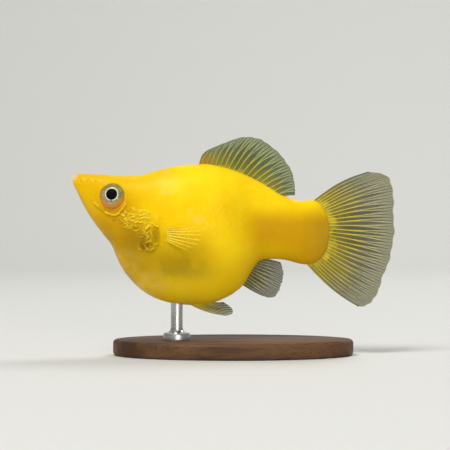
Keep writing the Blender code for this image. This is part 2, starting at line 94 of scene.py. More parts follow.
# Lines on the flank, each (behind the snout tip, above the axis)
MOUTH_LINE = ((0.0004, 0.0158), (0.0016, 0.0126), (0.0024, 0.0106), (0.0031, 0.0094))
GILL_EDGE = (
    (0.0155, 0.0056), (0.0182, 0.0060), (0.0209, 0.0042), (0.0223, 0.0004), (0.0224, -0.0032),
    (0.0210, -0.0064), (0.0182, -0.0084), (0.0150, -0.0086), (0.0120, -0.0070), (0.0096, -0.0050),
)
CHEEK_EDGE = ((0.0138, 0.0040), (0.0133, 0.0010), (0.0138, -0.0022), (0.0154, -0.0050), (0.0176, -0.0064))
EYE_FOLD = (
    (0.0057, 0.0056), (0.0070, 0.0044), (0.0088, 0.0031), (0.0107, 0.0024), (0.0120, 0.0030),
    (0.0138, 0.0052),
)
CHIN_FOLD = ((0.0080, -0.0022), (0.0095, -0.0034), (0.0117, -0.0038), (0.0142, -0.0033), (0.0162, -0.0025))
NOSTRILS = (((0.0043, 0.0112), 0.00030), ((0.0062, 0.0108), 0.00024))  # each with its radius
PECTORAL_PAD = (0.0237, -0.0021)
# Heights of the relief: rises stand proud of the plain body, and depths are sunk in it
COVER_RISE, COVER_GROOVE = 0.00026, 0.00012
CHEEK_RISE, CHEEK_DEPTH = 0.00004, 0.00004
EYE_FOLD_RISE, EYE_FOLD_DEPTH = 0.00011, 0.00014
CHIN_DEPTH = 0.00010
LIP_RISE, MOUTH_DEPTH = 0.00008, 0.00015
NOSTRIL_RIM, NOSTRIL_DEPTH = 0.00005, 0.00024
PAD_RISE = 0.00038  # under the side fin's root
BACK_FIN_RISE, VENT_RISE, LOW_FIN_RISE = 0.00022, 0.00010, 0.00018
SOCKET_RIM, SOCKET_DEPTH = 0.00018, 0.0019
# Ovals where the colour or the surface changes, each by its centre, half its length and half its height
CRINKLED = (
    (0.0150, 0.0014, 0.0030, 0.0030), (0.0178, 0.0016, 0.0028, 0.0022), (0.0192, -0.0030, 0.0021, 0.0040),
)
SMOOTH_GOLD = (0.0212, -0.0022, 0.0011, 0.0024)
UNDER_EYE = (0.0104, 0.0042, 0.0028, 0.0013)
UNDER_FOLD = (0.0109, 0.0011, 0.0014, 0.0008)
BROWN_THROAT_SHADE = (0.0162, -0.0034, 0.0038, 0.0040)
OLIVE_CHEST = (0.0160, -0.0104, 0.0040, 0.0046)
GUT = (0.0270, -0.0094, 0.0080, 0.0038)
UPPER_FLANK = (0.0400, 0.0045, 0.0060, 0.0055)
BLUSHES = (
    (0.0240, 0.0104, 0.0026, 0.0030), (0.0318, 0.0014, 0.0013, 0.0010), (0.0297, 0.0028, 0.0007, 0.0016),
    (0.0198, -0.0146, 0.0040, 0.0034), (0.0140, -0.0088, 0.0032, 0.0040), (0.0078, -0.0018, 0.0006, 0.0005),
)
GLEAM = (0.0385, 0.0010, 0.0062, 0.0060)


def smooth_through(knots, values, places):
    """A natural cubic curve through the values, numbers or points, at the knots, read at the places."""
    x, y, places = np.array(knots, float), np.array(values, float), np.asarray(places, float)
    step = np.diff(x)
    system, change = np.eye(len(x)), np.zeros_like(y)
    for i in range(1, len(x) - 1):
        system[i, i - 1 : i + 2] = step[i - 1], 2 * (step[i - 1] + step[i]), step[i]
        change[i] = 6 * ((y[i + 1] - y[i]) / step[i] - (y[i] - y[i - 1]) / step[i - 1])
    bend = np.linalg.solve(system, change)
    i = np.clip(np.searchsorted(x, places) - 1, 0, len(step) - 1)
    before, after, reach = (x[i + 1] - places) / step[i], (places - x[i]) / step[i], step[i]
    if y.ndim > 1:
        before, after, reach = before[..., None], after[..., None], reach[..., None]
    bow = (before**3 - before) * bend[i] + (after**3 - after) * bend[i + 1]
    return before * y[i] + after * y[i + 1] + bow * reach**2 / 6


def turn_of(share):
    """How far along its rings the skin has come at a share of its length. The rings crowd at both ends."""
    return np.arccos(1 - 2 * np.clip(share, 0.0, 1.0)) / np.pi


def body_value(points, share):
    shares, values = zip(*points)
    return smooth_through(turn_of(np.array(shares)), values, turn_of(share))


def smooth_line(points, count=90):
    """Points spaced along a smooth line through the named ones."""
    points = np.array(points) * FIT
    reach = np.concatenate(([0.0], np.cumsum(np.linalg.norm(np.diff(points, axis=0), axis=1))))
    return smooth_through(reach, points, np.linspace(0, reach[-1], count))


def ease(value, low, high):
    share = np.clip((value - low) / (high - low), 0.0, 1.0)
    return share * share * (3 - 2 * share)


def ridge(distance, width):
    return np.exp(-((distance / width) ** 2))


def bare_body(share, angle):
    """Points of the body's plain shape. Angle 0 is the flank on +Y, and a quarter turn is the back."""
    across, up = np.cos(angle), np.sin(angle)
    above = up >= 0
    edge = np.where(above, body_value(BACK_EDGE, share), body_value(BELLY_EDGE, share))
    square = np.where(above, body_value(SQUARE_ABOVE, share), body_value(SQUARE_BELOW, share))
    reach = (np.abs(across) ** square + np.abs(up) ** square) ** (-1 / square)
    level = body_value(WIDEST_LEVEL, share)
    rise = np.abs(edge - level) * up * reach
    aside = WIDTH * body_value(HALF_WIDTH, share) * across * reach
    x = SNOUT_X + share * LENGTH
    return np.stack((np.broadcast_to(x, aside.shape), aside, AXIS_HEIGHT + DEPTH * (level + rise)), axis=-1)


def grid_normals(points):
    """Outward directions of a grid of points that runs along the body and closes round it."""
    along = np.gradient(points, axis=0)
    around = np.roll(points, -1, axis=1) - np.roll(points, 1, axis=1)
    normal = np.cross(around, along)
    return normal / np.maximum(np.linalg.norm(normal, axis=-1, keepdims=True), 1e-12)


def near_line(behind, above, line):
    """The distance to a line and the side of it: above 0 is left of its run, seen from the left flank."""
    distance = np.full(behind.shape, 1.0)
    side = np.zeros(behind.shape)
    for a, b in zip(line, line[1:]):
        run = b - a
        along = np.clip(((behind - a[0]) * run[0] + (above - a[1]) * run[1]) / (run @ run), 0, 1)
        off_x, off_z = behind - a[0] - along * run[0], above - a[1] - along * run[1]
        here = np.hypot(off_x, off_z)
        nearer = here < distance
        distance = np.where(nearer, here, distance)
        side = np.where(nearer, np.sign(run[0] * off_z - run[1] * off_x), side)
    return distance, side


def eye_frame(side):
    """The eye's centre, and the way that it looks."""
    low, high = (np.array(corner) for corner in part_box("eye_left" if side < 0 else "eye_right"))
    centre = (low + high) / 2
    share = (centre[0] - SNOUT_X) / LENGTH
    angles = np.linspace(-1.2, 1.2, 400)
    angle = angles[np.argmin(np.abs(bare_body(np.full(400, share), angles)[:, 2] - centre[2]))]
    here = bare_body(np.array(share), np.array(angle))
    along = bare_body(np.array(share + 0.002), np.array(angle)) - here
    around = bare_body(np.array(share), np.array(angle + 0.002)) - here
    outward = np.cross(around, along)
    outward[1] = side * abs(outward[1])
    return centre, outward / np.linalg.norm(outward)


EYE_RADIUS = (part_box("eye_left")[1][2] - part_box("eye_left")[0][2]) / 2
SIDES = (("left", -1), ("right", 1))  # the fish's left is on -Y


def skin_relief(points):
    """How far each point of the plain body is raised (or sunk) to give the living skin."""
    behind, above, aside = points[..., 0] - SNOUT_X, points[..., 2] - AXIS_HEIGHT, points[..., 1]
    flank = ease(np.abs(aside), 0.0006, 0.0022)
    rise = np.full(behind.shape, -SCALE_DEPTH)

    distance, side = near_line(behind, above, smooth_line(GILL_EDGE))
    in_cover = side < 0
    over_head = ease(behind, 0.0098, 0.0150)
    cover = np.where(in_cover, 1 - ease(distance, 0.0022, 0.0068), 0.0) * over_head
    step = np.where(in_cover, ease(distance, -0.00002, 0.00022), 0.0)
    rear = 0.10 + 0.90 * ease(behind, 0.0190, 0.0216) * (1 - ease(above, 0.0010, 0.0035))
    rise += COVER_RISE * cover * step * flank * rear
    groove = np.where(in_cover, 0.0, ridge(distance, 0.00045))
    rise -= COVER_GROOVE * groove * ease(behind, 0.0085, 0.0115) * flank * rear

    distance, side = near_line(behind, above, smooth_line(CHEEK_EDGE))
    outside = ridge(distance - 0.0009, 0.0005) * (side > 0)
    rise += (CHEEK_RISE * ridge(distance, 0.0006) - CHEEK_DEPTH * outside) * flank
    distance, side = near_line(behind, above, smooth_line(EYE_FOLD))
    outside = ridge(distance - 0.00070, 0.00040) * (side < 0)
    rise += (EYE_FOLD_RISE * ridge(distance, 0.00036) - EYE_FOLD_DEPTH * outside) * flank
    distance, _ = near_line(behind, above, smooth_line(CHIN_FOLD))
    rise -= CHIN_DEPTH * ridge(distance, 0.0003) * flank

    distance, _ = near_line(behind, above, smooth_line(MOUTH_LINE))
    lips = ease(above, 0.0089, 0.0100)
    rise += lips * (LIP_RISE * ridge(distance - 0.00050, 0.00045) - MOUTH_DEPTH * ridge(distance, 0.00015))

    for (nostril_x, nostril_z), radius in NOSTRILS:
        distance = np.hypot(behind - nostril_x, above - nostril_z)
        rim = ridge(distance - radius * 1.3, radius * 0.5)
        rise += (NOSTRIL_RIM * rim - NOSTRIL_DEPTH * ridge(distance, radius * 0.8)) * flank

    distance = np.hypot(behind - PECTORAL_PAD[0], (above - PECTORAL_PAD[1]) / 1.25)
    rise += PAD_RISE * ridge(distance, 0.0016)
    back = ease(-np.abs(aside), -0.0026, -0.0006) * (above > 0)
    rise += BACK_FIN_RISE * back * ease(behind, 0.0310, 0.0335) * (1 - ease(behind, 0.0495, 0.0520))
    under = ease(-np.abs(aside), -0.0022, -0.0004) * (above < 0)
    rise += VENT_RISE * under * ridge(behind - 0.0398, 0.0012)
    rise += LOW_FIN_RISE * under * ease(behind, 0.0410, 0.0425) * (1 - ease(behind, 0.0455, 0.0470))

    for eye_side in (-1, 1):
        centre, outward = eye_frame(eye_side)
        off = points - centre
        depth = off @ outward
        distance = np.linalg.norm(off - depth[..., None] * outward, axis=-1)
        here = (np.sign(aside) == eye_side) & (depth > -0.004)
        socket = 1 - ease(distance, EYE_RADIUS * 0.80, EYE_RADIUS * 0.93)
        rim = ridge(distance - EYE_RADIUS * 1.00, 0.00042)
        rise = np.where(here, rise - SOCKET_DEPTH * socket, rise)
        rise = np.where(here, rise + SOCKET_RIM * rim, rise)
    return rise


def even_angles(share, count):
    """For each share, angles that space points evenly round the body, from the right flank over the back."""
    fine = np.linspace(0, 2 * np.pi, 721)
    points = bare_body(share[:, None], fine[None, :])
    steps = np.linalg.norm(np.diff(points, axis=1), axis=2)
    reach = np.concatenate((np.zeros((len(share), 1)), np.cumsum(steps, 1)), 1)
    wanted = np.linspace(0, 1, count, endpoint=False)
    return np.array([np.interp(wanted * row[-1], row, fine) for row in reach])


ring_turns = np.arange(SKIN_RINGS + 1) / SKIN_RINGS
ring_shares = (1 - np.cos(ring_turns * np.pi)) / 2
inner_shares = np.clip(ring_shares, 1e-5, 1 - 1e-5)
skin_angles = even_angles(inner_shares, SKIN_SPOKES)
bare_points = bare_body(inner_shares[:, None], skin_angles)
bare_normals = grid_normals(bare_points)
end_fade = np.minimum(1, np.minimum(ring_turns, 1 - ring_turns) / 0.01)[:, None]
skin_points = bare_points + bare_normals * (skin_relief(bare_points) * end_fade)[..., None]
skin_normals = grid_normals(skin_points)


def in_oval(behind, above, oval):
    """From 1 inside an oval to 0 outside, across a soft margin."""
    centre_x, centre_z, half_length, half_height = (value * FIT for value in oval)
    return 1 - ease(np.hypot((behind - centre_x) / half_length, (above - centre_z) / half_height), 0.62, 1.25)


def soft_oval(behind, above, oval):
    """From 1 at the middle of an oval, falling slowly, to nothing well outside it."""
    centre_x, centre_z, half_length, half_height = (value * FIT for value in oval)
    return ridge(np.hypot((behind - centre_x) / half_length, (above - centre_z) / half_height), 0.90)


def crinkled(behind, above):
    """How far the gill cover's skin is crumpled, from 0 to 1."""
    rough = np.maximum.reduce([in_oval(behind, above, oval) for oval in CRINKLED])
    return rough * (1 - in_oval(behind, above, SMOOTH_GOLD))


def markings(points):
    """The skin's colour zones at each point, from 0 to 1.

    The first four are orange (in part painted shade on the tail stalk), belly, golden gill and pale lips. The
    others are gut (with a painted shade band over the lower flank), blush, cheek (painted shade) and olive
    (with painted shade on the throat).
    """
    behind, above = points[..., 0] - SNOUT_X, points[..., 2] - AXIS_HEIGHT
    low_half = 1 - ease(above, 0.0000, 0.0056)
    # On the tail stalk the orange is partly painted shade: it starts behind the belly's bulge and lies mostly
    # on the stalk's lower half.
    stalk = ease(behind, 0.0405, 0.0480) * (0.05 + 0.95 * low_half) * (1 - 0.5 * ease(behind, 0.0580, 0.0625))
    stalk *= 1 - 0.45 * ease(-above, 0.0020, 0.0075) * (1 - ease(behind, 0.0500, 0.0580))
    nape = 0.50 * (1 - ease(behind, 0.006, 0.034)) + 0.30 * soft_oval(behind, above, UPPER_FLANK)
    orange_and_shade = np.clip(nape + stalk, 0, 1)
    belly = (1 - ease(above, -0.0125, -0.0035)) * ease(behind, 0.006, 0.012)
    belly *= 1 - 0.8 * ease(behind, 0.026, 0.040)
    belly *= 1 - 0.80 * ease(-above, 0.0140, 0.0185)
    golden = crinkled(behind, above) * (0.35 + 0.60 * ease(-above, -0.0015, 0.0030))
    golden = np.maximum(golden, in_oval(behind, above, SMOOTH_GOLD) * 0.95)
    lips = 1 - ease(np.hypot(behind - 0.0002, above - 0.0122), 0.0005, 0.0017)
    # A painted shade band over the mid-lower flank, joined with the darker gut that shows through the belly.
    dim = ease(-above, -0.0030, 0.0065) * (1 - ease(-above, 0.0110, 0.0165))
    dim *= 1 - ease(behind, 0.0310, 0.0400)
    dim *= ease(behind, 0.004, 0.010) * ease(behind + 1.1 * above, 0.0020, 0.0070)
    gut_and_shade = 1 - (1 - 0.54 * dim) * (1 - 0.88 * soft_oval(behind, above, GUT))
    blush = np.maximum.reduce([in_oval(behind, above, oval) for oval in BLUSHES])
    # Painted brown shade on the lower head, under the eye and under the eye fold.
    cheek_shade = (1 - ease(above, 0.0035, 0.0095)) * (1 - ease(behind, 0.0130, 0.0185))
    cheek_shade *= 1 - 0.5 * ease(-above, 0.0, 0.005)
    cheek_shade *= 0.10 + 0.90 * ease(behind, 0.0030, 0.0095)
    cheek_shade = np.maximum(cheek_shade, in_oval(behind, above, UNDER_EYE) * 1.4)
    cheek_shade = np.maximum(cheek_shade, soft_oval(behind, above, UNDER_FOLD) * 1.5)
    # An olive tone on the chest and at the end of the tail stalk, and painted brown shade on the throat below
    # the gill cover.
    throat_shade, chest = (soft_oval(behind, above, oval) for oval in (BROWN_THROAT_SHADE, OLIVE_CHEST))
    olive_and_shade = np.maximum(0.72 * throat_shade, 0.25 * chest)
    olive_and_shade = np.maximum(olive_and_shade, 0.70 * ease(behind, 0.0565, 0.0625) * low_half)
    olive_and_shade = np.maximum(olive_and_shade, 0.35 * ease(behind, 0.0600, 0.0640))
    return np.stack((orange_and_shade, belly, golden, lips, gut_and_shade, blush, cheek_shade, olive_and_shade), axis=-1)


def paint(mesh, name, values):
    """A colour attribute with four values for each point."""
    layer = mesh.attributes.new(name, "FLOAT_COLOR", "POINT")
    layer.data.foreach_set("color", np.ascontiguousarray(values, np.float32).ravel())


def paint_markings(mesh, points):
    values = markings(points)
    paint(mesh, "zones", values[..., :4])
    paint(mesh, "patches", values[..., 4:])


def node(tree, kind, inputs=(), **settings):
    """A shader node with its settings, and its inputs set to values or joined to sockets."""
    made = tree.nodes.new(kind)
    for name, value in settings.items():
        setattr(made, name, value)
    for key, value in dict(inputs).items():
        if isinstance(value, bpy.types.NodeSocket):
            tree.links.new(value, made.inputs[key])
        else:
            made.inputs[key].default_value = value
    return made


def mix(tree, share, first, second, blend="MIX"):
    made = node(tree, "ShaderNodeMix", {0: share, 6: first, 7: second}, data_type="RGBA", blend_type=blend)
    return made.outputs[2]


def maths(tree, operation, first, second=0.0, third=0.0):
    return node(tree, "ShaderNodeMath", {0: first, 1: second, 2: third}, operation=operation).outputs[0]


def fit_range(tree, value, low, high, to_low=0.0, to_high=1.0):
    """The value's run from low to high, eased and fitted to another run."""
    inputs = {"Value": value, "From Min": low, "From Max": high, "To Min": to_low, "To Max": to_high}
    return node(tree, "ShaderNodeMapRange", inputs, interpolation_type="SMOOTHSTEP").outputs[0]


def attribute_values(tree, name):
    """The four values of a colour attribute."""
    found = node(tree, "ShaderNodeAttribute", attribute_name=name)
    parts = node(tree, "ShaderNodeSeparateColor", {0: found.outputs["Color"]}).outputs[:3]
    return *parts, found.outputs["Alpha"]


def own_place(tree, stretch=None):
    """The piece's own coordinates, plain or stretched along each axis."""
    place = node(tree, "ShaderNodeTexCoord").outputs["Object"]
    if stretch is None:
        return place
    return node(tree, "ShaderNodeMapping", {"Vector": place, "Scale": stretch}).outputs[0]


def noise_field(tree, place, scale, detail, distortion=0.0):
    inputs = {"Vector": place, "Scale": scale, "Detail": detail, "Distortion": distortion}
    return node(tree, "ShaderNodeTexNoise", inputs).outputs["Fac"]


def add_bump(tree, shader, strength, distance, height):
    inputs = {"Strength": strength, "Distance": distance, "Height": height}
    lift = node(tree, "ShaderNodeBump", inputs)
    tree.links.new(lift.outputs["Normal"], shader.inputs["Normal"])


def new_finish(name, **sockets):
    """A material with its principled shader, whose plain sockets are set here."""
    made = bpy.data.materials.new(name)
    made.use_nodes = True
    tree = made.node_tree
    shader = tree.nodes["Principled BSDF"]
    for key, value in sockets.items():
        shader.inputs[key.replace("_", " ")].default_value = value
    return made, tree, shader


# Colours of the golden skin. The orange and the olive also stand for painted shade in places, the cheek
# and hollow browns and the gut shade are painted shade, and the crest colour is a painted highlight.
GOLD = ((0.950, 0.600, 0.003, 1), (0.985, 0.690, 0.008, 1))
ORANGE_AND_SHADE = (0.600, 0.310, 0.001, 1)
DULL_BELLY = ((0.840, 0.540, 0.020, 1), (0.700, 0.430, 0.025, 1))
BROWN_CHEEK_SHADE = (0.500, 0.230, 0.002, 1)
PALE_SPECK = (0.900, 0.600, 0.170, 1)
GILL_GROUND = ((0.440, 0.245, 0.003, 1), (0.580, 0.360, 0.006, 1))
OLIVE_AND_SHADE = (0.370, 0.190, 0.010, 1)
BROWN_HOLLOW_SHADE = (0.230, 0.095, 0.005, 1)
CREST_HIGHLIGHT = (1.000, 0.740, 0.035, 1)
GUT_SHADE = (0.440, 0.420, 0.300, 1)
SCALE_GLEAM = (1.000, 0.800, 0.160, 1)
PALE_LIP = (0.720, 0.600, 0.360, 1)


def golden_skin_group():
    """Colour, roughness and height of the golden skin, shared by the skin, its scales and the gill covers."""
    tree = bpy.data.node_groups.new("golden skin", "ShaderNodeTree")
    for name, kind in (("Colour", "Color"), ("Roughness", "Float"), ("Height", "Float")):
        tree.interface.new_socket(name=name, in_out="OUTPUT", socket_type=f"NodeSocket{kind}")
    place = own_place(tree)
    orange_and_shade, belly, golden, lips = attribute_values(tree, "zones")
    gut_and_shade, blush, cheek_shade, olive_and_shade = attribute_values(tree, "patches")
    gleam, crest_highlight, hollow_shade, _ = attribute_values(tree, "details")

    drift = noise_field(tree, place, 130.0, 3.0)
    colour = mix(tree, fit_range(tree, drift, 0.35, 0.70), *GOLD)
    # Orange tone on the head and upper flank, and on the tail stalk partly painted shade.
    colour = mix(tree, orange_and_shade, colour, ORANGE_AND_SHADE)
    mottling = noise_field(tree, place, 260.0, 4.0)
    dull = mix(tree, fit_range(tree, mottling, 0.40, 0.66), *DULL_BELLY)
    colour = mix(tree, maths(tree, "MULTIPLY", belly, 0.60), colour, dull)
    # Painted brown shade on the lower head and under the eye.
    colour = mix(tree, maths(tree, "MULTIPLY", cheek_shade, 0.64), colour, BROWN_CHEEK_SHADE)
    # The gut's own darkening and the painted shade band on the lower flank, mottled.
    shade = maths(tree, "MULTIPLY", gut_and_shade, fit_range(tree, mottling, 0.25, 0.60, 0.84, 1.0))

    speck_field = fit_range(tree, noise_field(tree, place, 560.0, 3.0), 0.30, 0.74)
    specks = maths(tree, "MULTIPLY", speck_field, maths(tree, "MULTIPLY_ADD", blush, 0.36, 0.02))
    colour = mix(tree, specks, colour, PALE_SPECK)

    flecks = noise_field(tree, place, 1500.0, 3.0, 1.6)
    ground = mix(tree, fit_range(tree, flecks, 0.40, 0.62), *GILL_GROUND)
    colour = mix(tree, golden, colour, ground)
    # Olive tone, and painted shade on the throat.
    colour = mix(tree, olive_and_shade, colour, OLIVE_AND_SHADE)
    # Painted brown shade in the folds' hollows.
    colour = mix(tree, hollow_shade, colour, BROWN_HOLLOW_SHADE)
    # Painted highlight on the tops of the folds.
    colour = mix(tree, crest_highlight, colour, CREST_HIGHLIGHT)
    colour = mix(tree, shade, colour, GUT_SHADE, "MULTIPLY")
    colour = mix(tree, gleam, colour, SCALE_GLEAM)
    colour = mix(tree, maths(tree, "MULTIPLY", lips, 0.80), colour, PALE_LIP)

    fine = noise_field(tree, place, 2600.0, 3.0)
    fleck_height = maths(tree, "MULTIPLY", flecks, golden)
    height = maths(tree, "MULTIPLY_ADD", fleck_height, 0.35, maths(tree, "MULTIPLY", fine, 0.10))
    rough = maths(tree, "MULTIPLY_ADD", fine, 0.16, 0.28)
    end = node(tree, "NodeGroupOutput")
    for socket, value in zip(end.inputs, (colour, rough, height)):
        tree.links.new(value, socket)
    return tree


golden_skin = golden_skin_group()


def golden_finish(name, bump, translucency):
    """Wet, golden skin, from the shared group, with a bump and with how far light passes into the flesh."""
    made, tree, shader = new_finish(
        name, Specular_IOR_Level=0.15, Specular_Tint=(1.0, 0.72, 0.12, 1.0), Coat_Weight=0.045,
        Coat_Roughness=0.28, Coat_IOR=1.38, Subsurface_Weight=translucency,
        Subsurface_Radius=(1.0, 0.55, 0.08), Subsurface_Scale=0.0022,
    )
    shared = node(tree, "ShaderNodeGroup", node_tree=golden_skin)
    tree.links.new(shared.outputs["Colour"], shader.inputs["Base Color"])
    tree.links.new(shared.outputs["Roughness"], shader.inputs["Roughness"])
    add_bump(tree, shader, bump, 0.00010, shared.outputs["Height"])
    return made


def add_object(name, data):
    made = bpy.data.objects.new(name, data)
    bpy.context.scene.collection.objects.link(made)
    return made


def finish_piece(name, bm, finish):
    """An object at the origin from a bmesh, smooth, in its finish."""
    mesh = bpy.data.meshes.new(name)
    bm.to_mesh(mesh)
    bm.free()
    mesh.shade_smooth()
    mesh.materials.append(finish)
    return add_object(name, mesh)


def read_all(items, name, kind=int, width=1):
    """The named value of each of a mesh's points, faces or face corners."""
    values = np.empty(len(items) * width, kind)
    items.foreach_get(name, values)
    return values


def points_of(mesh):
    return read_all(mesh.vertices, "co", float, 3).reshape(-1, 3)


bm = bmesh.new()
bmesh.ops.create_uvsphere(bm, u_segments=SKIN_SPOKES, v_segments=SKIN_RINGS, radius=1.0)
skin = finish_piece("golden_skin", bm, golden_finish("golden skin", 0.60, 0.10))
ball = points_of(skin.data)
rings = np.round(np.arccos(np.clip(ball[:, 2], -1, 1)) / np.pi * SKIN_RINGS).astype(int)
spokes = np.round(np.arctan2(ball[:, 1], ball[:, 0]) / (2 * np.pi) * SKIN_SPOKES).astype(int) % SKIN_SPOKES
placed = skin_points[rings, spokes]
for ring in (0, SKIN_RINGS):
    placed[rings == ring] = skin_points[ring].mean(axis=0)
skin.data.vertices.foreach_set("co", placed.ravel())
paint_markings(skin.data, placed)
unwrap = skin.data.uv_layers.new(name="OFBake")
corners = read_all(skin.data.loops, "vertex_index")
corner_rings, corner_spokes = rings[corners] / SKIN_RINGS, spokes[corners] / SKIN_SPOKES
face_start = read_all(skin.data.polygons, "loop_start")
face_of_corner = np.repeat(np.arange(len(face_start)), read_all(skin.data.polygons, "loop_total"))
highest = np.maximum.reduceat(corner_spokes, face_start)[face_of_corner]
corner_spokes = np.where((highest - corner_spokes) > 0.5, corner_spokes + 1.0, corner_spokes)
unwrap.data.foreach_set("uv", np.stack((corner_rings, corner_spokes * UNWRAP_ROUND), axis=1).ravel())
skin.data.flip_normals()
skin.data.update()
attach(skin, "root")
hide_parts("head", "lower_jaw", "trunk", "tail_stalk", "gill_cover_left", "gill_cover_right")

# The eyes. Each is a wet, clear-fronted ball with a black pupil set high in it, a fine cream ring round the
# pupil, a silvery iris that is pinkish in front and greenish behind, and an orange rim below, where it sits
# in the socket.
EYE_SEGMENTS = 96
PUPIL_RADIUS = 0.412  # these eight are shares of the eye's radius
PUPIL_RISE = 0.145
PUPIL_BACK = 0.030
IRIS_RADIUS = 0.800
IRIS_RISE = 0.105
EYE_DEPTH = 0.5
CORNEA_BULGE, CORNEA_REACH = 0.02, 0.5

PINK_SILVER, GREEN_SILVER = (0.40, 0.27, 0.15, 1), (0.28, 0.34, 0.08, 1)
PALE_CLOUD = (0.54, 0.52, 0.32, 1)
DARK_STREAK = (0.17, 0.15, 0.07, 1)
SLATE = (0.07, 0.10, 0.08, 1)
OLIVE_TOP = (0.15, 0.16, 0.05, 1)
CREAM = (0.84, 0.78, 0.56, 1)
BLUE_NOTCH = (0.05, 0.07, 0.09, 1)
ORANGE_RIM, OLIVE_RIM, PINK_RIM = (0.66, 0.22, 0.015, 1), (0.24, 0.21, 0.03, 1), (0.60, 0.29, 0.11, 1)
BLACK = (0.002, 0.002, 0.003, 1)


def eye_finish():
    made, tree, shader = new_finish("wet eye", Coat_Weight=0.05, Coat_Roughness=0.04, Coat_IOR=1.40,
                                    Roughness=0.42, Specular_IOR_Level=0.06)
    spot = node(tree, "ShaderNodeAttribute", attribute_name="eye_place").outputs["Vector"]
    forward, up = node(tree, "ShaderNodeSeparateXYZ", {0: spot}).outputs[:2]

    def distance_from(rise, back):
        """The distance over the eye from a middle that stands so far up and back, and the way from it."""
        off_x, off_z = maths(tree, "SUBTRACT", forward, back), maths(tree, "SUBTRACT", up, rise)
        off = node(tree, "ShaderNodeCombineXYZ", {0: off_x, 1: off_z}).outputs[0]
        return node(tree, "ShaderNodeVectorMath", {0: off}, operation="LENGTH").outputs["Value"], off

    (from_pupil, flat), (from_iris, _) = distance_from(PUPIL_RISE, PUPIL_BACK), distance_from(IRIS_RISE, 0.0)
    off_forward, off_up = maths(tree, "ABSOLUTE", forward), maths(tree, "ABSOLUTE", up)
    round_it = node(tree, "ShaderNodeVectorMath", {0: flat}, operation="NORMALIZE").outputs[0]
    streak_place = node(tree, "ShaderNodeVectorMath", {0: round_it, 3: 7.0}, operation="SCALE").outputs[0]
    streaks = noise_field(tree, streak_place, 2.6, 5.0)
    cloud = noise_field(tree, spot, 5.0, 3.0)
    silver = mix(tree, fit_range(tree, forward, -0.45, 0.45), PINK_SILVER, GREEN_SILVER)
    silver = mix(tree, fit_range(tree, cloud, 0.48, 0.66, 0.0, 0.70), silver, PALE_CLOUD)
    silver = mix(tree, fit_range(tree, streaks, 0.44, 0.62, 0.0, 0.65), silver, DARK_STREAK)
    level = fit_range(tree, off_up, 0.20, 0.50, 0.7, 0.0)
    slate = maths(tree, "MULTIPLY", fit_range(tree, forward, 0.50, 0.66), level)
    silver = mix(tree, slate, silver, SLATE)
    silver = mix(tree, fit_range(tree, up, 0.25, 0.75, 0.0, 0.75), silver, OLIVE_TOP)
    silver = mix(tree, fit_range(tree, from_pupil, 0.45, 0.53, 0.85, 0.0), silver, CREAM)
    under = fit_range(tree, up, -0.34, -0.18, 1.0, 0.0)
    under = maths(tree, "MULTIPLY", under, fit_range(tree, up, -0.46, -0.36))
    notch = maths(tree, "MULTIPLY", under, fit_range(tree, off_forward, 0.02, 0.15, 0.8, 0.0))
    silver = mix(tree, notch, silver, BLUE_NOTCH)
    rim = mix(tree, fit_range(tree, up, -0.35, 0.15), ORANGE_RIM, OLIVE_RIM)
    rim = mix(tree, fit_range(tree, cloud, 0.42, 0.70, 0.0, 0.55), rim, PINK_RIM)
    past_iris = fit_range(tree, from_iris, IRIS_RADIUS - 0.16, IRIS_RADIUS + 0.05)
    colour = mix(tree, past_iris, silver, rim)
    in_pupil = fit_range(tree, from_pupil, PUPIL_RADIUS, PUPIL_RADIUS + 0.02, 1.0, 0.0)
    colour = mix(tree, in_pupil, colour, BLACK)
    tree.links.new(colour, shader.inputs["Base Color"])
    past_pupil = fit_range(tree, from_pupil, PUPIL_RADIUS + 0.01, PUPIL_RADIUS + 0.04)
    shine = maths(tree, "MULTIPLY", past_pupil, 0.12)
    shine = maths(tree, "MULTIPLY", shine, fit_range(tree, from_iris, 0.70, 0.82, 1.0, 0.0))
    tree.links.new(shine, shader.inputs["Metallic"])
    add_bump(tree, shader, 0.25, 0.00005, streaks)
    return made


wet_eye = eye_finish()
for word, side in SIDES:
    centre, outward = eye_frame(side)
    centre, outward = Vector(centre), Vector(outward)
    snoutward = Vector((-1, 0, 0))
    forward = (snoutward - outward * snoutward.dot(outward)).normalized()
    upward = outward.cross(forward)
    upward *= 1 if upward.z > 0 else -1
    bm = bmesh.new()
    bmesh.ops.create_uvsphere(bm, u_segments=EYE_SEGMENTS, v_segments=EYE_SEGMENTS // 2, radius=1.0)
    places = []
    for vert in bm.verts:
        across, high, out = vert.co
        places.append((-across, high, out))
        from_pupil = math.hypot(across + PUPIL_BACK, high - PUPIL_RISE)
        bulge = CORNEA_BULGE * max(0.0, 1 - (from_pupil / CORNEA_REACH) ** 2) if out > 0 else 0.0
        depth = EYE_DEPTH * (out + bulge) * EYE_RADIUS
        vert.co = centre + forward * across * EYE_RADIUS + upward * high * EYE_RADIUS + outward * depth
    bm.normal_update()
    bmesh.ops.recalc_face_normals(bm, faces=bm.faces[:])
    eye = finish_piece(f"eyeball_{word}", bm, wet_eye)
    place_of = eye.data.attributes.new("eye_place", "FLOAT_VECTOR", "POINT")
    place_of.data.foreach_set("vector", np.array(places, np.float32).ravel())
    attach(eye, "root")
    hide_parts(f"eye_{word}")

# The gill covers. The skin over each is crumpled into small, shiny golden folds, which run level below the
# eye and upright towards the rear edge, round a smooth oval. The folds' tops carry a painted highlight and
# the hollows under them painted brown shade. Each is a fine sheet of skin whose margins sink into the rest.
GILL_COLUMNS = 210
GILL_ROWS = 150
GILL_FRONT, GILL_REAR = 0.0052, 0.0236
GILL_BOTTOM, GILL_TOP = -0.0076, 0.0060
GILL_SINK = 0.00012
FOLD_HEIGHT = 0.00020
CRUMPLE = 900.0  # small creases in a metre
FOLD_WANDER = 0.00013
FLANK_STEPS = 500  # places down the flank, between which each column of the sheet finds its levels
CREASE_SEED = 1
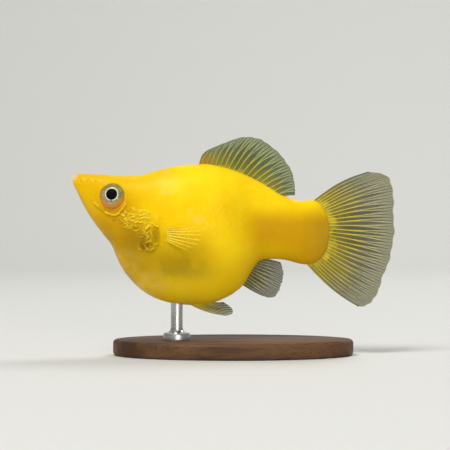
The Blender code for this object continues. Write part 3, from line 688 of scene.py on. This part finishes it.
# The larger folds, each by how bright the painted highlight on its top is (which also sets the painted shade
# under it), its half breadth, and points along it
FOLDS = (
    (0.55, 0.00020, ((0.0057, 0.0056), (0.0069, 0.0046))),
    (0.75, 0.00020, ((0.0086, 0.0032), (0.0100, 0.0026), (0.0113, 0.0025), (0.0123, 0.0033),
                     (0.0138, 0.0052))),
    (0.75, 0.00018, ((0.0120, 0.0030), (0.0127, 0.0025), (0.0134, 0.0022))),
    (0.70, 0.00015, ((0.0136, 0.0033), (0.0138, 0.0029))),
    (0.70, 0.00015, ((0.0143, 0.0023), (0.0148, 0.0029))),
    (0.45, 0.00036, ((0.0156, 0.0040), (0.0164, 0.0035))),
    (0.50, 0.00026, ((0.0170, 0.0032), (0.0185, 0.0035), (0.0196, 0.0031))),
    (0.85, 0.00015, ((0.0150, 0.0026), (0.0160, 0.0027))),
    (0.75, 0.00020, ((0.0145, 0.0017), (0.0153, 0.0018), (0.0160, 0.0021))),
    (0.90, 0.00015, ((0.0172, 0.0022), (0.0183, 0.0025))),
    (0.95, 0.00018, ((0.0171, 0.0014), (0.0178, 0.0017), (0.0196, 0.0016))),
    (0.75, 0.00014, ((0.0132, 0.0015), (0.0138, 0.0014))),
    (0.60, 0.00019, ((0.0139, 0.0011), (0.0148, 0.0012), (0.0156, 0.0009))),
    (0.95, 0.00014, ((0.0159, 0.0006), (0.0165, 0.0007), (0.0170, 0.0010))),
    (0.65, 0.00018, ((0.0172, 0.0006), (0.0180, 0.0006))),
    (0.80, 0.00014, ((0.0134, 0.0004), (0.0140, 0.0002), (0.0141, -0.0003), (0.0136, -0.0006))),
    (0.90, 0.00015, ((0.0160, -0.0014), (0.0165, -0.0014), (0.0169, -0.0010))),
    (1.00, 0.00026, ((0.0188, -0.0010), (0.0193, -0.0005), (0.0199, -0.0001))),
    (0.75, 0.00016, ((0.0199, 0.0004), (0.0205, 0.0004), (0.0211, -0.0001), (0.0219, -0.0004))),
    (0.55, 0.00020, ((0.0181, -0.0021), (0.0186, -0.0020), (0.0189, -0.0023))),
    (0.85, 0.00016, ((0.0199, -0.0012), (0.0202, -0.0021), (0.0206, -0.0030))),
    (0.50, 0.00022, ((0.0190, -0.0041), (0.0199, -0.0041))),
    (0.45, 0.00020, ((0.0176, -0.0031), (0.0180, -0.0027))),
    (0.75, 0.00024, ((0.0191, -0.0059), (0.0199, -0.0062), (0.0206, -0.0058))),
    (0.45, 0.00022, ((0.0170, -0.0059), (0.0179, -0.0063))),
    (0.60, 0.00015, ((0.0211, -0.0049), (0.0218, -0.0045))),
)
# Painted brown shade in the hollows between them, each an oval
HOLLOW_SHADES = (
    (0.0109, 0.0013, 0.0013, 0.0006), (0.0091, 0.0021, 0.0007, 0.0003), (0.0128, 0.0004, 0.0006, 0.0003),
    (0.0165, -0.0008, 0.0007, 0.0003), (0.0197, -0.0018, 0.0004, 0.0007), (0.0186, -0.0029, 0.0008, 0.0003),
    (0.0195, -0.0050, 0.0007, 0.0004), (0.0180, -0.0050, 0.0007, 0.0014),
)


def on_skin(share, fraction, height):
    """Points over the skin at shares of its length and fractions of the way round it."""
    ring = turn_of(share) * SKIN_RINGS
    spoke = np.mod(fraction, 1.0) * SKIN_SPOKES
    low_ring = np.clip(np.floor(ring).astype(int), 0, SKIN_RINGS - 1)
    low_spoke = np.floor(spoke).astype(int) % SKIN_SPOKES
    ring_part, spoke_part = (ring - low_ring)[..., None], (spoke - np.floor(spoke))[..., None]

    def read(table):
        def on_ring(ring):
            near, far = table[ring, low_spoke], table[ring, (low_spoke + 1) % SKIN_SPOKES]
            return near * (1 - spoke_part) + far * spoke_part

        return on_ring(low_ring) * (1 - ring_part) + on_ring(low_ring + 1) * ring_part

    return read(skin_points) + read(skin_normals) * height[..., None]


def crumple(behind, above):
    """The small creases' height at one point of a gill cover, and how its larger folds swell and wander."""
    spot = Vector((behind, above, 0.0)) * CRUMPLE
    wander = noise.noise_vector(spot * 1.7) * FOLD_WANDER
    swell = 0.90 + 0.95 * noise.noise(spot * 1.1 + Vector((5.0, 2.0, 0.0)))
    spot += noise.noise_vector(spot * 0.7)
    return 1 - 3.0 * abs(noise.noise(spot)), swell, wander.x, wander.y


noise.seed_set(CREASE_SEED)
golden_gill = golden_finish("golden gill", 0.5, 0.0)
for word, side in SIDES:
    bm = bmesh.new()
    bmesh.ops.create_grid(bm, x_segments=GILL_COLUMNS, y_segments=GILL_ROWS, size=1.0)
    if side > 0:
        bmesh.ops.reverse_faces(bm, faces=bm.faces[:])
    gill = finish_piece(f"golden_gill_{word}", bm, golden_gill)
    flat = (points_of(gill.data) + 1) / 2
    behind = (GILL_FRONT + flat[:, 0] * (GILL_REAR - GILL_FRONT)) * FIT
    above = (GILL_BOTTOM + flat[:, 1] * (GILL_TOP - GILL_BOTTOM)) * FIT
    fraction = np.empty(len(behind))
    down_flank = np.linspace(0.74, 0.26, FLANK_STEPS) if side < 0 else np.linspace(-0.24, 0.24, FLANK_STEPS)
    column = np.round(flat[:, 0] * GILL_COLUMNS).astype(int)
    for one in range(GILL_COLUMNS + 1):
        here = column == one
        shares = np.full(FLANK_STEPS, behind[here][0] / LENGTH)
        levels = on_skin(shares, down_flank, np.zeros(FLANK_STEPS))[:, 2] - AXIS_HEIGHT
        fraction[here] = np.interp(above[here], np.maximum.accumulate(levels), down_flank)
    rough = crinkled(behind, above)
    spots = zip(behind / FIT, above / FIT)
    creases, swell, wander_x, wander_z = np.array([crumple(*spot) for spot in spots]).T
    creases = creases * rough
    near_x, near_z = behind + wander_x * FIT, above + wander_z * FIT
    folds, crest_highlight, hollow_shade = (np.zeros(len(behind)) for _ in range(3))
    for bright, breadth, points in FOLDS:
        course = smooth_line(points, 5 * len(points))
        distance, _ = near_line(near_x, near_z, course)
        under, _ = near_line(near_x, near_z + 1.9 * breadth * FIT, course)
        folds = np.maximum(folds, ridge(distance, breadth * 1.10 * FIT) * swell)
        # A painted highlight along the top of each fold.
        crest_highlight = np.maximum(crest_highlight, bright * ridge(distance, breadth * 0.95 * FIT) * np.clip(swell, 0.3, 1.2))
        # Painted brown shade just under each fold.
        hollow_shade = np.maximum(hollow_shade, 0.36 * bright * ridge(under, breadth * FIT))
    # Painted brown shade in the listed hollows.
    hollow_shades = np.maximum.reduce([in_oval(near_x, near_z, oval) for oval in HOLLOW_SHADES])
    hollow_shade = np.maximum(hollow_shade, 0.60 * hollow_shades)
    # A weaker painted highlight on the tops of the small creases.
    crest_highlight = np.clip(np.maximum(crest_highlight, 0.55 * ease(creases, 0.50, 0.92)), 0, 1)
    shown = np.maximum.reduce([rough, folds, hollow_shade * 0.5])
    height = GILL_SINK * 1.15 * ease(shown, 0.02, 0.40) - GILL_SINK + FOLD_HEIGHT * (folds + 0.30 * creases)
    placed = on_skin(behind / LENGTH, fraction, height * FIT)
    gill.data.vertices.foreach_set("co", placed.ravel())
    paint_markings(gill.data, placed)
    hollow_shade *= 1 - crest_highlight
    paint(gill.data, "details", np.stack((np.zeros_like(crest_highlight), crest_highlight, hollow_shade, np.ones_like(crest_highlight)), axis=-1))
    gill.data.update()
    shell = gill.modifiers.new("thickness", "SOLIDIFY")
    shell.thickness = GILL_SINK * FIT
    shell.offset = -1.0
    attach(gill, "root")
    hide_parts(f"gill_cover_{word}")

# The scales. Thin, round-edged plates overlap like roof tiles from the nape and the gill covers to the tail,
# in rows that draw together along the tail stalk. They carry the skin's own colours.
SCALE_ROWS = 36
SCALES_FROM, SCALES_TO = 0.0120, 0.0622
SCALE_PITCHES = ((0.012, 0.030, 0.046, 0.062), (0.00072, 0.00085, 0.00078, 0.00058))
SCALE_LENGTH = 0.0025
SCALE_LENGTHS = ((0.2, 0.5, 0.75, 1.0), (0.80, 1.0, 0.88, 0.62))  # shares of it, along the body
SCALE_LIFT = 0.000040
SCALE_THICKNESS = 0.000022
SCALE_CLEARANCE = 0.000012
SCALE_GRID = 5  # points along and across each
SCALE_SEED = 7
PATCH = 0.0030  # its share of the unwrap

scale_columns = [SCALES_FROM * FIT]
while scale_columns[-1] < SCALES_TO * FIT:
    pitch = np.interp(scale_columns[-1] / FIT, *SCALE_PITCHES)
    scale_columns.append(scale_columns[-1] + pitch * FIT)
roots = []
for column, x in enumerate(scale_columns):
    roots += [(x / LENGTH, (row + 0.5 * (column % 2)) / SCALE_ROWS) for row in range(SCALE_ROWS)]
roots = np.array(roots)
root_points = on_skin(roots[:, 0], roots[:, 1], np.zeros(len(roots)))
behind, above = root_points[:, 0] - SNOUT_X, root_points[:, 2] - AXIS_HEIGHT
from_gill, gill_side = near_line(behind, above, smooth_line(GILL_EDGE))
on_nape = (above > 0.0078 + 0.10 * np.maximum(0.016 - behind, 0)) & (behind > 0.0128)
behind_gill = (behind > 0.0150) & ((gill_side > 0) | (behind > 0.0225)) & (from_gill > 0.0006)
on_belly = (above < -0.0096) & (behind > 0.0140)
kept = on_nape | (behind_gill & (above > -0.0096)) | on_belly
on_cover = (gill_side < 0) & (behind < 0.0226) & (above < 0.0062) & (above > -0.0084)
roots = roots[kept & ~on_cover]
turn = np.mod(roots[:, 1], 1.0)
left_side = (turn >= 0.25) & (turn < 0.75)
rng = np.random.default_rng(SCALE_SEED)
golden_scales = golden_finish("golden scales", 0.30, 0.0)
for word, chosen in (("left", left_side), ("right", ~left_side)):
    on_this_side = roots[chosen]
    bm = bmesh.new()
    bmesh.ops.create_grid(bm, x_segments=SCALE_GRID - 1, y_segments=SCALE_GRID - 1, size=1.0)
    bmesh.ops.solidify(bm, geom=bm.faces[:], thickness=1.0)
    bm.normal_update()
    bmesh.ops.recalc_face_normals(bm, faces=bm.faces[:])
    plate = len(bm.verts)
    while len(bm.verts) < len(on_this_side) * plate:
        bmesh.ops.duplicate(bm, geom=bm.verts[:] + bm.edges[:] + bm.faces[:])
    bmesh.ops.delete(bm, geom=bm.verts[len(on_this_side) * plate :], context="VERTS")
    scales = finish_piece(f"scales_{word}", bm, golden_scales)
    flat = points_of(scales.data).reshape(len(on_this_side), plate, 3)
    along, across, under = flat[..., 0], flat[..., 1], flat[..., 2].max() - flat[..., 2]
    round_edge = np.sqrt(1 - 0.92 * np.clip(along, 0, 1) ** 2)
    round_front = 1 - 0.25 * np.clip(-along, 0, 1)
    bow = along - 0.16 * across**2 * (along > 0)
    length = SCALE_LENGTH * FIT * np.interp(on_this_side[:, 0], *SCALE_LENGTHS)[:, None]
    share = on_this_side[:, 0][:, None] + (bow * 0.5 - 0.12) * length / LENGTH
    fraction = on_this_side[:, 1][:, None] - across * round_edge * round_front * 0.56 / SCALE_ROWS
    tilt = rng.uniform(0.75, 1.25, (len(on_this_side), 1))
    height = (SCALE_LIFT * ((along + 1) / 2 * tilt - 0.3)) * (1 - 0.55 * across**2) + SCALE_CLEARANCE
    height -= SCALE_THICKNESS * under
    placed = on_skin(np.minimum(share, 0.9965), fraction, height * FIT).reshape(-1, 3)
    scales.data.vertices.foreach_set("co", placed.ravel())
    scales.data.set_sharp_from_angle(angle=math.radians(50))
    paint_markings(scales.data, placed)
    shimmer = in_oval(placed[:, 0] - SNOUT_X, placed[:, 2] - AXIS_HEIGHT, GLEAM)
    gleam = ease(along, 0.2, 1.0) * rng.uniform(0.0, 1.0, (len(on_this_side), 1)) ** 2
    gleam = gleam.ravel() * (0.04 + 0.16 * shimmer)
    paint(scales.data, "details", np.stack((gleam, gleam * 0, gleam * 0, gleam * 0 + 1), axis=-1))
    patch = scales.data.uv_layers.new(name="OFBake")
    corners = read_all(scales.data.loops, "vertex_index")
    own = on_this_side[corners // plate]
    spots = np.stack((turn_of(own[:, 0]), own[:, 1] % 1.0 * UNWRAP_ROUND), axis=1)
    spots += flat.reshape(-1, 3)[corners, :2] * PATCH / 2
    patch.data.foreach_set("uv", spots.ravel())
    scales.data.update()
    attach(scales, "root")
    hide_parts("trunk", "tail_stalk")

# The fins. Each is a thin, clear web held by bony rays that start as one stem in the body and fork on the
# way out. The rays and the web near the body are golden, and the web grows clear and greyish towards its
# thin, slightly torn margin.
FIN_THICKNESS = 0.00046
FIN_RIPPLE = 0.00008  # how far each web waves from ray to ray
BROWN_LEADING = (0.400, 0.240, 0.003, 1)  # where the back fin starts


def fin_finish(name, web, rays, cover, ray_cover=0.97, front=0.0, gloss=0.08):
    """A fin's web and rays, each by its colours near the body and at the margin.

    The cover is how solid the web is at both, and the front is how brown the first rays are.
    """
    made, tree, shader = new_finish(name, Roughness=0.36, Coat_Weight=gloss, Coat_Roughness=0.18,
                                    Specular_IOR_Level=0.02 + 2 * gloss)
    ray, out, across, _ = attribute_values(tree, "web")
    place = own_place(tree)
    cloud = noise_field(tree, place, 420.0, 4.0)
    drift = maths(tree, "ADD", out, maths(tree, "MULTIPLY_ADD", cloud, 0.5, -0.25))
    from_middle = maths(tree, "ABSOLUTE", maths(tree, "SUBTRACT", across, 0.45))
    web_drift = maths(tree, "ADD", drift, fit_range(tree, from_middle, 0.05, 0.30, 0.20, -0.06))
    web_colour = mix(tree, fit_range(tree, web_drift, 0.05, 0.80), *web)
    ray_drift = maths(tree, "ADD", drift, fit_range(tree, from_middle, 0.05, 0.30, -0.16, 0.08))
    ray_colour = mix(tree, fit_range(tree, ray_drift, 0.10, 0.80), *rays)
    joint_place = maths(tree, "MULTIPLY_ADD", out, 300.0, maths(tree, "MULTIPLY", across, 190.0))
    joints = fit_range(tree, maths(tree, "SINE", joint_place), -0.2, 0.9, 0.0, 0.12)
    ray_colour = mix(tree, joints, ray_colour, web_colour)
    colour = mix(tree, ray, web_colour, ray_colour)
    colour = mix(tree, fit_range(tree, drift, 0.02, 0.22, 0.90, 0.0), colour, rays[0])
    first_rays = fit_range(tree, across, 0.0, 0.30, front, 0.0)
    leading = maths(tree, "MULTIPLY", first_rays, fit_range(tree, out, 0.25, 0.90, 1.0, 0.0))
    colour = mix(tree, leading, colour, BROWN_LEADING)
    tree.links.new(colour, shader.inputs["Base Color"])
    clear = fit_range(tree, drift, 0.05, 0.90, *cover)
    solid = fit_range(tree, out, 0.20, 1.00, ray_cover, ray_cover * 0.62)
    blend = node(tree, "ShaderNodeMix", {0: ray, 2: clear, 3: solid}, data_type="FLOAT").outputs[0]
    tree.links.new(blend, shader.inputs["Alpha"])
    add_bump(tree, shader, 0.1, 0.00004, noise_field(tree, place, 2400.0, 2.0))
    return made


def fin(name, cad_node, rays, rows, root, tips, finish, bow=(0, 0, 0), last_bow=None, spread=0.0, sway=0.0,
        forks=2, bold=1.0, columns_per_ray=16, thickness=FIN_THICKNESS):
    """A fin: a fine, flat box of web, drawn out from its line of ray roots to its line of ray tips, and made
    as thick as the web or the ray is at each place.
    """
    def line(points):
        full = []
        for behind, *aside, above in points:
            full.append((SNOUT_X + behind * FIT, sum(aside) * FIT, AXIS_HEIGHT + above * FIT))
        return lambda places: smooth_through(np.linspace(0, 1, len(full)), full, places)

    def middle(across, reach):
        straight = line(root)(across) * (1 - reach)[:, None] + line(tips)(across) * reach[:, None]
        bend = np.outer(1 - across, bow) + np.outer(across, last_bow or bow)
        bend[:, 2] += spread * (1 - 2 * across)
        ripple = FIN_RIPPLE * reach * np.sin(across * (rays - 1) * 1.9 + 0.7)
        aside = sway * reach**2 * np.sin(2 * np.pi * across) + ripple
        placed = straight + bend * FIT * np.sin(np.pi * reach)[:, None]
        placed[:, 1] += aside * FIT
        return placed

    bm = bmesh.new()
    bmesh.ops.create_grid(bm, x_segments=(rays - 1) * columns_per_ray, y_segments=rows, size=1.0)
    bmesh.ops.triangulate(bm, faces=bm.faces[:])
    bmesh.ops.solidify(bm, geom=bm.faces[:], thickness=0.1)
    bm.normal_update()
    bmesh.ops.recalc_face_normals(bm, faces=bm.faces[:])
    made = finish_piece(name, bm, finish)
    flat = points_of(made.data)
    across, out = np.clip((flat[:, 0] + 1) / 2, 0, 1), np.clip((flat[:, 1] + 1) / 2, 0, 1)
    wall = np.where(flat[:, 2] > flat[:, 2].mean(), 1.0, -1.0)
    place = across * (rays - 1)
    nearest = np.round(place)
    inner = (nearest > 0) & (nearest < rays - 1)
    wobble = 0.06 * np.sin(nearest * 2.4 + out * 5.0) * inner * np.sin(np.pi * out)
    distance = np.abs(place - nearest - wobble)
    if forks > 0:
        distance = np.abs(distance - 0.25 * ease(out, 0.24 + 0.08 * np.sin(nearest * 1.7), 0.95) * inner)
    if forks > 1:
        distance = np.abs(distance - 0.125 * ease(out, 0.55 + 0.08 * np.cos(nearest * 2.9), 1.05) * inner)
    breadth = bold * (0.150 - 0.080 * ease(out, 0.0, 0.9))
    ray = 1 - ease(distance, breadth * 0.45, breadth * 1.5)
    torn = 0.012 * np.sin(across * 61.0) * np.sin(across * 23.0 + 1.0) + 0.014 * (1 - ray)
    reach = out * (1 - torn * out**3)
    normal = np.cross(middle(across + 1e-4, reach) - middle(across - 1e-4, reach),
                      middle(across, reach + 1e-4) - middle(across, reach - 1e-4))
    normal /= np.linalg.norm(normal, axis=1)[:, None]
    half = thickness * FIT / 2 * (0.20 + 0.80 * ray) * (1 - 0.72 * out)
    made.data.vertices.foreach_set("co", (middle(across, reach) + normal * (wall * half)[:, None]).ravel())
    made.data.set_sharp_from_angle(angle=math.radians(65))
    paint(made.data, "web", np.stack((ray, out, across, np.ones_like(ray)), axis=1))
    made.data.update()
    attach(made, "root")
    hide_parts(cad_node)


def mirrored(points, side):
    return tuple((behind, aside * side, above) for behind, aside, above in points)


tail_web = fin_finish(
    "tail web", web=((0.270, 0.215, 0.004, 1), (0.060, 0.056, 0.018, 1)),
    rays=((0.72, 0.56, 0.010, 1), (0.44, 0.42, 0.20, 1)), cover=(0.86, 0.64),
)
back_web = fin_finish(
    "back fin web", web=((0.230, 0.200, 0.003, 1), (0.050, 0.075, 0.010, 1)),
    rays=((0.50, 0.46, 0.020, 1), (0.36, 0.42, 0.14, 1)), cover=(0.88, 0.66), front=0.8,
)
low_web = fin_finish(
    "lower fin web", web=((0.110, 0.100, 0.014, 1), (0.050, 0.050, 0.030, 1)),
    rays=((0.42, 0.38, 0.080, 1), (0.36, 0.36, 0.24, 1)), cover=(0.88, 0.66),
)
pelvic_web = fin_finish(
    "pelvic fin web", web=((0.560, 0.430, 0.010, 1), (0.110, 0.110, 0.070, 1)),
    rays=((0.80, 0.62, 0.040, 1), (0.90, 0.88, 0.70, 1)), cover=(0.84, 0.66),
)
side_web = fin_finish(
    "side fin web", web=((0.92, 0.62, 0.012, 1), (0.94, 0.65, 0.016, 1)),
    rays=((1.00, 0.80, 0.100, 1), (1.00, 0.78, 0.070, 1)), cover=(0.40, 0.05), ray_cover=0.80, gloss=0.01,
)

fin("dorsal_web", "dorsal_fin", 20, 64,
    ((0.0316, 0.0140), (0.0380, 0.0130), (0.0448, 0.0106), (0.0522, 0.0066)),
    ((0.0345, 0.0190), (0.0382, 0.0206), (0.0438, 0.0221), (0.0490, 0.0204), (0.0532, 0.0163),
     (0.0554, 0.0120), (0.0558, 0.0074)),
    back_web, bow=(-0.0006, 0, 0.0008), last_bow=(0.0, 0.0, 0.0003), sway=0.0004, bold=0.8)
fin("tail_web", "tail_fin", 30, 72,
    ((0.0592, 0.0052), (0.0617, 0.0032), (0.0628, 0.0000), (0.0628, -0.0040), (0.0612, -0.0072),
     (0.0575, -0.0086)),
    ((0.0742, 0.0134), (0.0794, 0.0116), (0.0804, 0.0056), (0.0806, -0.0012), (0.0797, -0.0078),
     (0.0776, -0.0138), (0.0755, -0.0188), (0.0718, -0.0206)),
    tail_web, spread=0.0012, sway=-0.0006, bold=0.85)
fin("anal_web", "anal_fin", 13, 44,
    ((0.0412, -0.0140), (0.0428, -0.0118), (0.0440, -0.0098), (0.0452, -0.0082)),
    ((0.0478, -0.0178), (0.0506, -0.0180), (0.0522, -0.0154), (0.0529, -0.0122), (0.0522, -0.0093)),
    low_web, forks=1, bold=1.25, spread=-0.0003)
for word, side in SIDES:
    fin(f"pelvic_web_{word}", f"pelvic_fin_{word}", 9, 40,
        mirrored(((0.0292, 0.0020, -0.0196), (0.0330, 0.0013, -0.0184)), side),
        mirrored(((0.0385, 0.0038, -0.0225), (0.0402, 0.0035, -0.0219), (0.0397, 0.0030, -0.0206),
                  (0.0378, 0.0024, -0.0193)), side),
        pelvic_web, bow=(0, 0, -0.0005), forks=0, bold=1.5, thickness=0.0004)
    fin(f"pectoral_web_{word}", f"pectoral_fin_{word}", 8, 50,
        mirrored(((0.0232, 0.0075, -0.0009), (0.0234, 0.0075, -0.0037)), side),
        mirrored(((0.0304, 0.0103, -0.0001), (0.0325, 0.0107, -0.0012), (0.0324, 0.0108, -0.0031),
                  (0.0313, 0.0106, -0.0050), (0.0290, 0.0101, -0.0062)), side),
        side_web, bow=(0, 0.0008 * side, 0), forks=0, bold=1.5, columns_per_ray=24, thickness=0.0003)

# The display stand: a flat oval of walnut with a rounded edge, oiled to a low sheen, and a turned steel rod
# that is screwed to it by a foot and runs up to the belly.
base_low, base_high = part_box("stand_base")
rod_low, rod_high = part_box("stand_rod")
BASE_EDGE = 0.0009
ROD_RADIUS = 0.0015 * FIT
FOOT_HEIGHT = 0.0013 * FIT
ROD_TAKE = 0.0009  # how far the rod runs on into the belly
DARK_WALNUT, WARM_WALNUT = (0.060, 0.026, 0.012, 1), (0.150, 0.070, 0.032, 1)
PORE_BROWN = (0.030, 0.013, 0.007, 1)

walnut, tree, shader = new_finish("walnut", Coat_Weight=0.06, Coat_Roughness=0.30, Roughness=0.60,
                                  Specular_IOR_Level=0.20)
warp = noise_field(tree, own_place(tree, (14.0, 190.0, 190.0)), 1.2, 5.0, 0.6)
pores = noise_field(tree, own_place(tree, (110.0, 2800.0, 2800.0)), 1.0, 4.0)
wood = mix(tree, fit_range(tree, warp, 0.35, 0.65), DARK_WALNUT, WARM_WALNUT)
wood = mix(tree, fit_range(tree, pores, 0.50, 0.70, 0.0, 0.5), wood, PORE_BROWN)
tree.links.new(wood, shader.inputs["Base Color"])
add_bump(tree, shader, 0.25, 0.00005, pores)
bm = bmesh.new()
bmesh.ops.create_cone(bm, cap_ends=True, segments=160, radius1=0.5, radius2=0.5, depth=1.0)
size = base_high - base_low
spot = Matrix.Translation((base_low + base_high) / 2) @ Matrix.Diagonal((*size, 1.0))
bmesh.ops.transform(bm, matrix=spot, verts=bm.verts[:])
rim = [edge for edge in bm.edges if abs(edge.verts[0].co.z - edge.verts[1].co.z) < 1e-6]
bmesh.ops.bevel(bm, geom=rim, offset=BASE_EDGE, affect="EDGES", segments=6, profile=0.5, material=-1,
                clamp_overlap=True)
plinth = finish_piece("walnut_base", bm, walnut)
plinth.data.set_sharp_from_angle(angle=math.radians(35))
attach(plinth, "root")
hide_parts("stand_base")

steel, tree, shader = new_finish("turned steel", Metallic=1.0)
turning = noise_field(tree, own_place(tree, (40.0, 40.0, 9000.0)), 1.0, 3.0)
tree.links.new(mix(tree, turning, (0.50, 0.50, 0.49, 1), (0.66, 0.66, 0.65, 1)), shader.inputs["Base Color"])
tree.links.new(fit_range(tree, turning, 0.3, 0.7, 0.22, 0.36), shader.inputs["Roughness"])
add_bump(tree, shader, 0.3, 0.00003, turning)
foot, rim_height = base_high.z, rod_low.z + FOOT_HEIGHT
foot_radius = (rod_high.x - rod_low.x) / 2
rod_top = rod_high.z + ROD_TAKE
profile = (
    (0.0, foot), (foot_radius, foot), (foot_radius, rim_height - 0.0005),
    (foot_radius - 0.00015, rim_height - 0.0001), (foot_radius - 0.0005, rim_height),
    (ROD_RADIUS * 1.5, rim_height + 0.00010), (ROD_RADIUS * 1.12, rim_height + 0.0006),
    (ROD_RADIUS, rim_height + 0.0014), (ROD_RADIUS, rod_top), (0.0, rod_top),
)
bm = bmesh.new()
points = [bm.verts.new((radius, 0.0, height)) for radius, height in profile]
edges = [bm.edges.new(pair) for pair in zip(points, points[1:])]
bmesh.ops.spin(bm, geom=points + edges, cent=(0, 0, 0), axis=(0, 0, 1), angle=2 * math.pi, steps=64,
               use_merge=True)
bmesh.ops.remove_doubles(bm, verts=bm.verts[:], dist=1e-6)
bmesh.ops.translate(bm, verts=bm.verts[:], vec=((rod_low.x + rod_high.x) / 2, 0.0, 0.0))
bmesh.ops.recalc_face_normals(bm, faces=bm.faces[:])
rod = finish_piece("steel_rod", bm, steel)
rod.data.set_sharp_from_angle(angle=math.radians(35))
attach(rod, "root")
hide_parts("stand_rod")

# The floor and backdrop: one pale sweep of studio paper under and behind the fish. It lies flat, bends up
# and stands, and soft lights are set round it.
SWEEP_FRONT, SWEEP_LENGTH = -1.0, 3.2
SWEEP_HALF_WIDTH = 0.9
BEND_START, BEND_RADIUS = 0.75, 0.35
BEND_LENGTH = BEND_RADIUS * math.pi / 2

paper, tree, shader = new_finish("pale paper", Roughness=0.85)
fibre = noise_field(tree, own_place(tree), 700.0, 4.0)
tree.links.new(mix(tree, fibre, (0.66, 0.66, 0.64, 1), (0.70, 0.70, 0.68, 1)), shader.inputs["Base Color"])
bm = bmesh.new()
bmesh.ops.create_grid(bm, x_segments=2, y_segments=60, size=1.0)
for vert in bm.verts:
    run = (vert.co.y + 1) / 2 * SWEEP_LENGTH + SWEEP_FRONT
    turn = min(max(run - BEND_START, 0.0), BEND_LENGTH) / BEND_RADIUS
    back = min(run, BEND_START) + BEND_RADIUS * math.sin(turn)
    rise = max(run - BEND_START - BEND_LENGTH, 0.0) + BEND_RADIUS * (1 - math.cos(turn))
    vert.co = (vert.co.x * SWEEP_HALF_WIDTH, back, rise)
sweep = finish_piece("paper_sweep", bm, paper)


def soft_light(name, position, target, width, watts, colour):
    light = bpy.data.lights.new(name, "AREA")
    light.shape = "DISK"
    light.size = width
    light.energy = watts
    light.color = colour
    made = add_object(name, light)
    made.location = position
    made.rotation_euler = (Vector(target) - Vector(position)).to_track_quat("-Z", "Y").to_euler()


WORLD_LIGHT = 0.32
BACKDROP_GLOW = 0.58  # how much brighter the world is to the camera
MIDDLE = (0.0, 0.0, AXIS_HEIGHT)
soft_light("key", (-0.45, -0.75, 1.30), MIDDLE, 0.70, 17.5, (1.0, 0.985, 0.95))
soft_light("fill", (0.25, -1.25, 0.04), MIDDLE, 0.90, 6.4, (1.0, 0.98, 0.95))
soft_light("rim", (0.50, 0.60, 0.90), MIDDLE, 0.50, 5.0, (1.0, 1.0, 1.0))
world = bpy.data.worlds.new("studio")
world.use_nodes = True
sky = world.node_tree.nodes["Background"]
sky.inputs["Color"].default_value = (0.87, 0.88, 0.88, 1)
seen = node(world.node_tree, "ShaderNodeLightPath").outputs["Is Camera Ray"]
strength = maths(world.node_tree, "MULTIPLY_ADD", seen, BACKDROP_GLOW, WORLD_LIGHT)
world.node_tree.links.new(strength, sky.inputs["Strength"])
bpy.context.scene.world = world

# The camera looks level at the fish's left flank, from far enough away to flatten it a little, with the
# snout on its own pixel and the picture's middle on the axis.
PIXEL = 0.00025 * FIT
PICTURE_WIDTH = 450  # pixels
SNOUT_PIXEL = 72
CAMERA_DISTANCE = 0.4
SENSOR_WIDTH = 36.0  # millimetres
camera_data = bpy.data.cameras.new("camera")
camera_data.sensor_width = SENSOR_WIDTH
camera_data.lens = SENSOR_WIDTH * CAMERA_DISTANCE / (PICTURE_WIDTH * PIXEL)
camera_data.clip_start = 0.01
camera = add_object("camera", camera_data)
camera.location = (SNOUT_X + (PICTURE_WIDTH / 2 - SNOUT_PIXEL) * PIXEL, -CAMERA_DISTANCE, AXIS_HEIGHT)
camera.rotation_euler = (math.pi / 2, 0.0, 0.0)
bpy.context.scene.camera = camera
bpy.context.scene.view_settings.view_transform = "Standard"
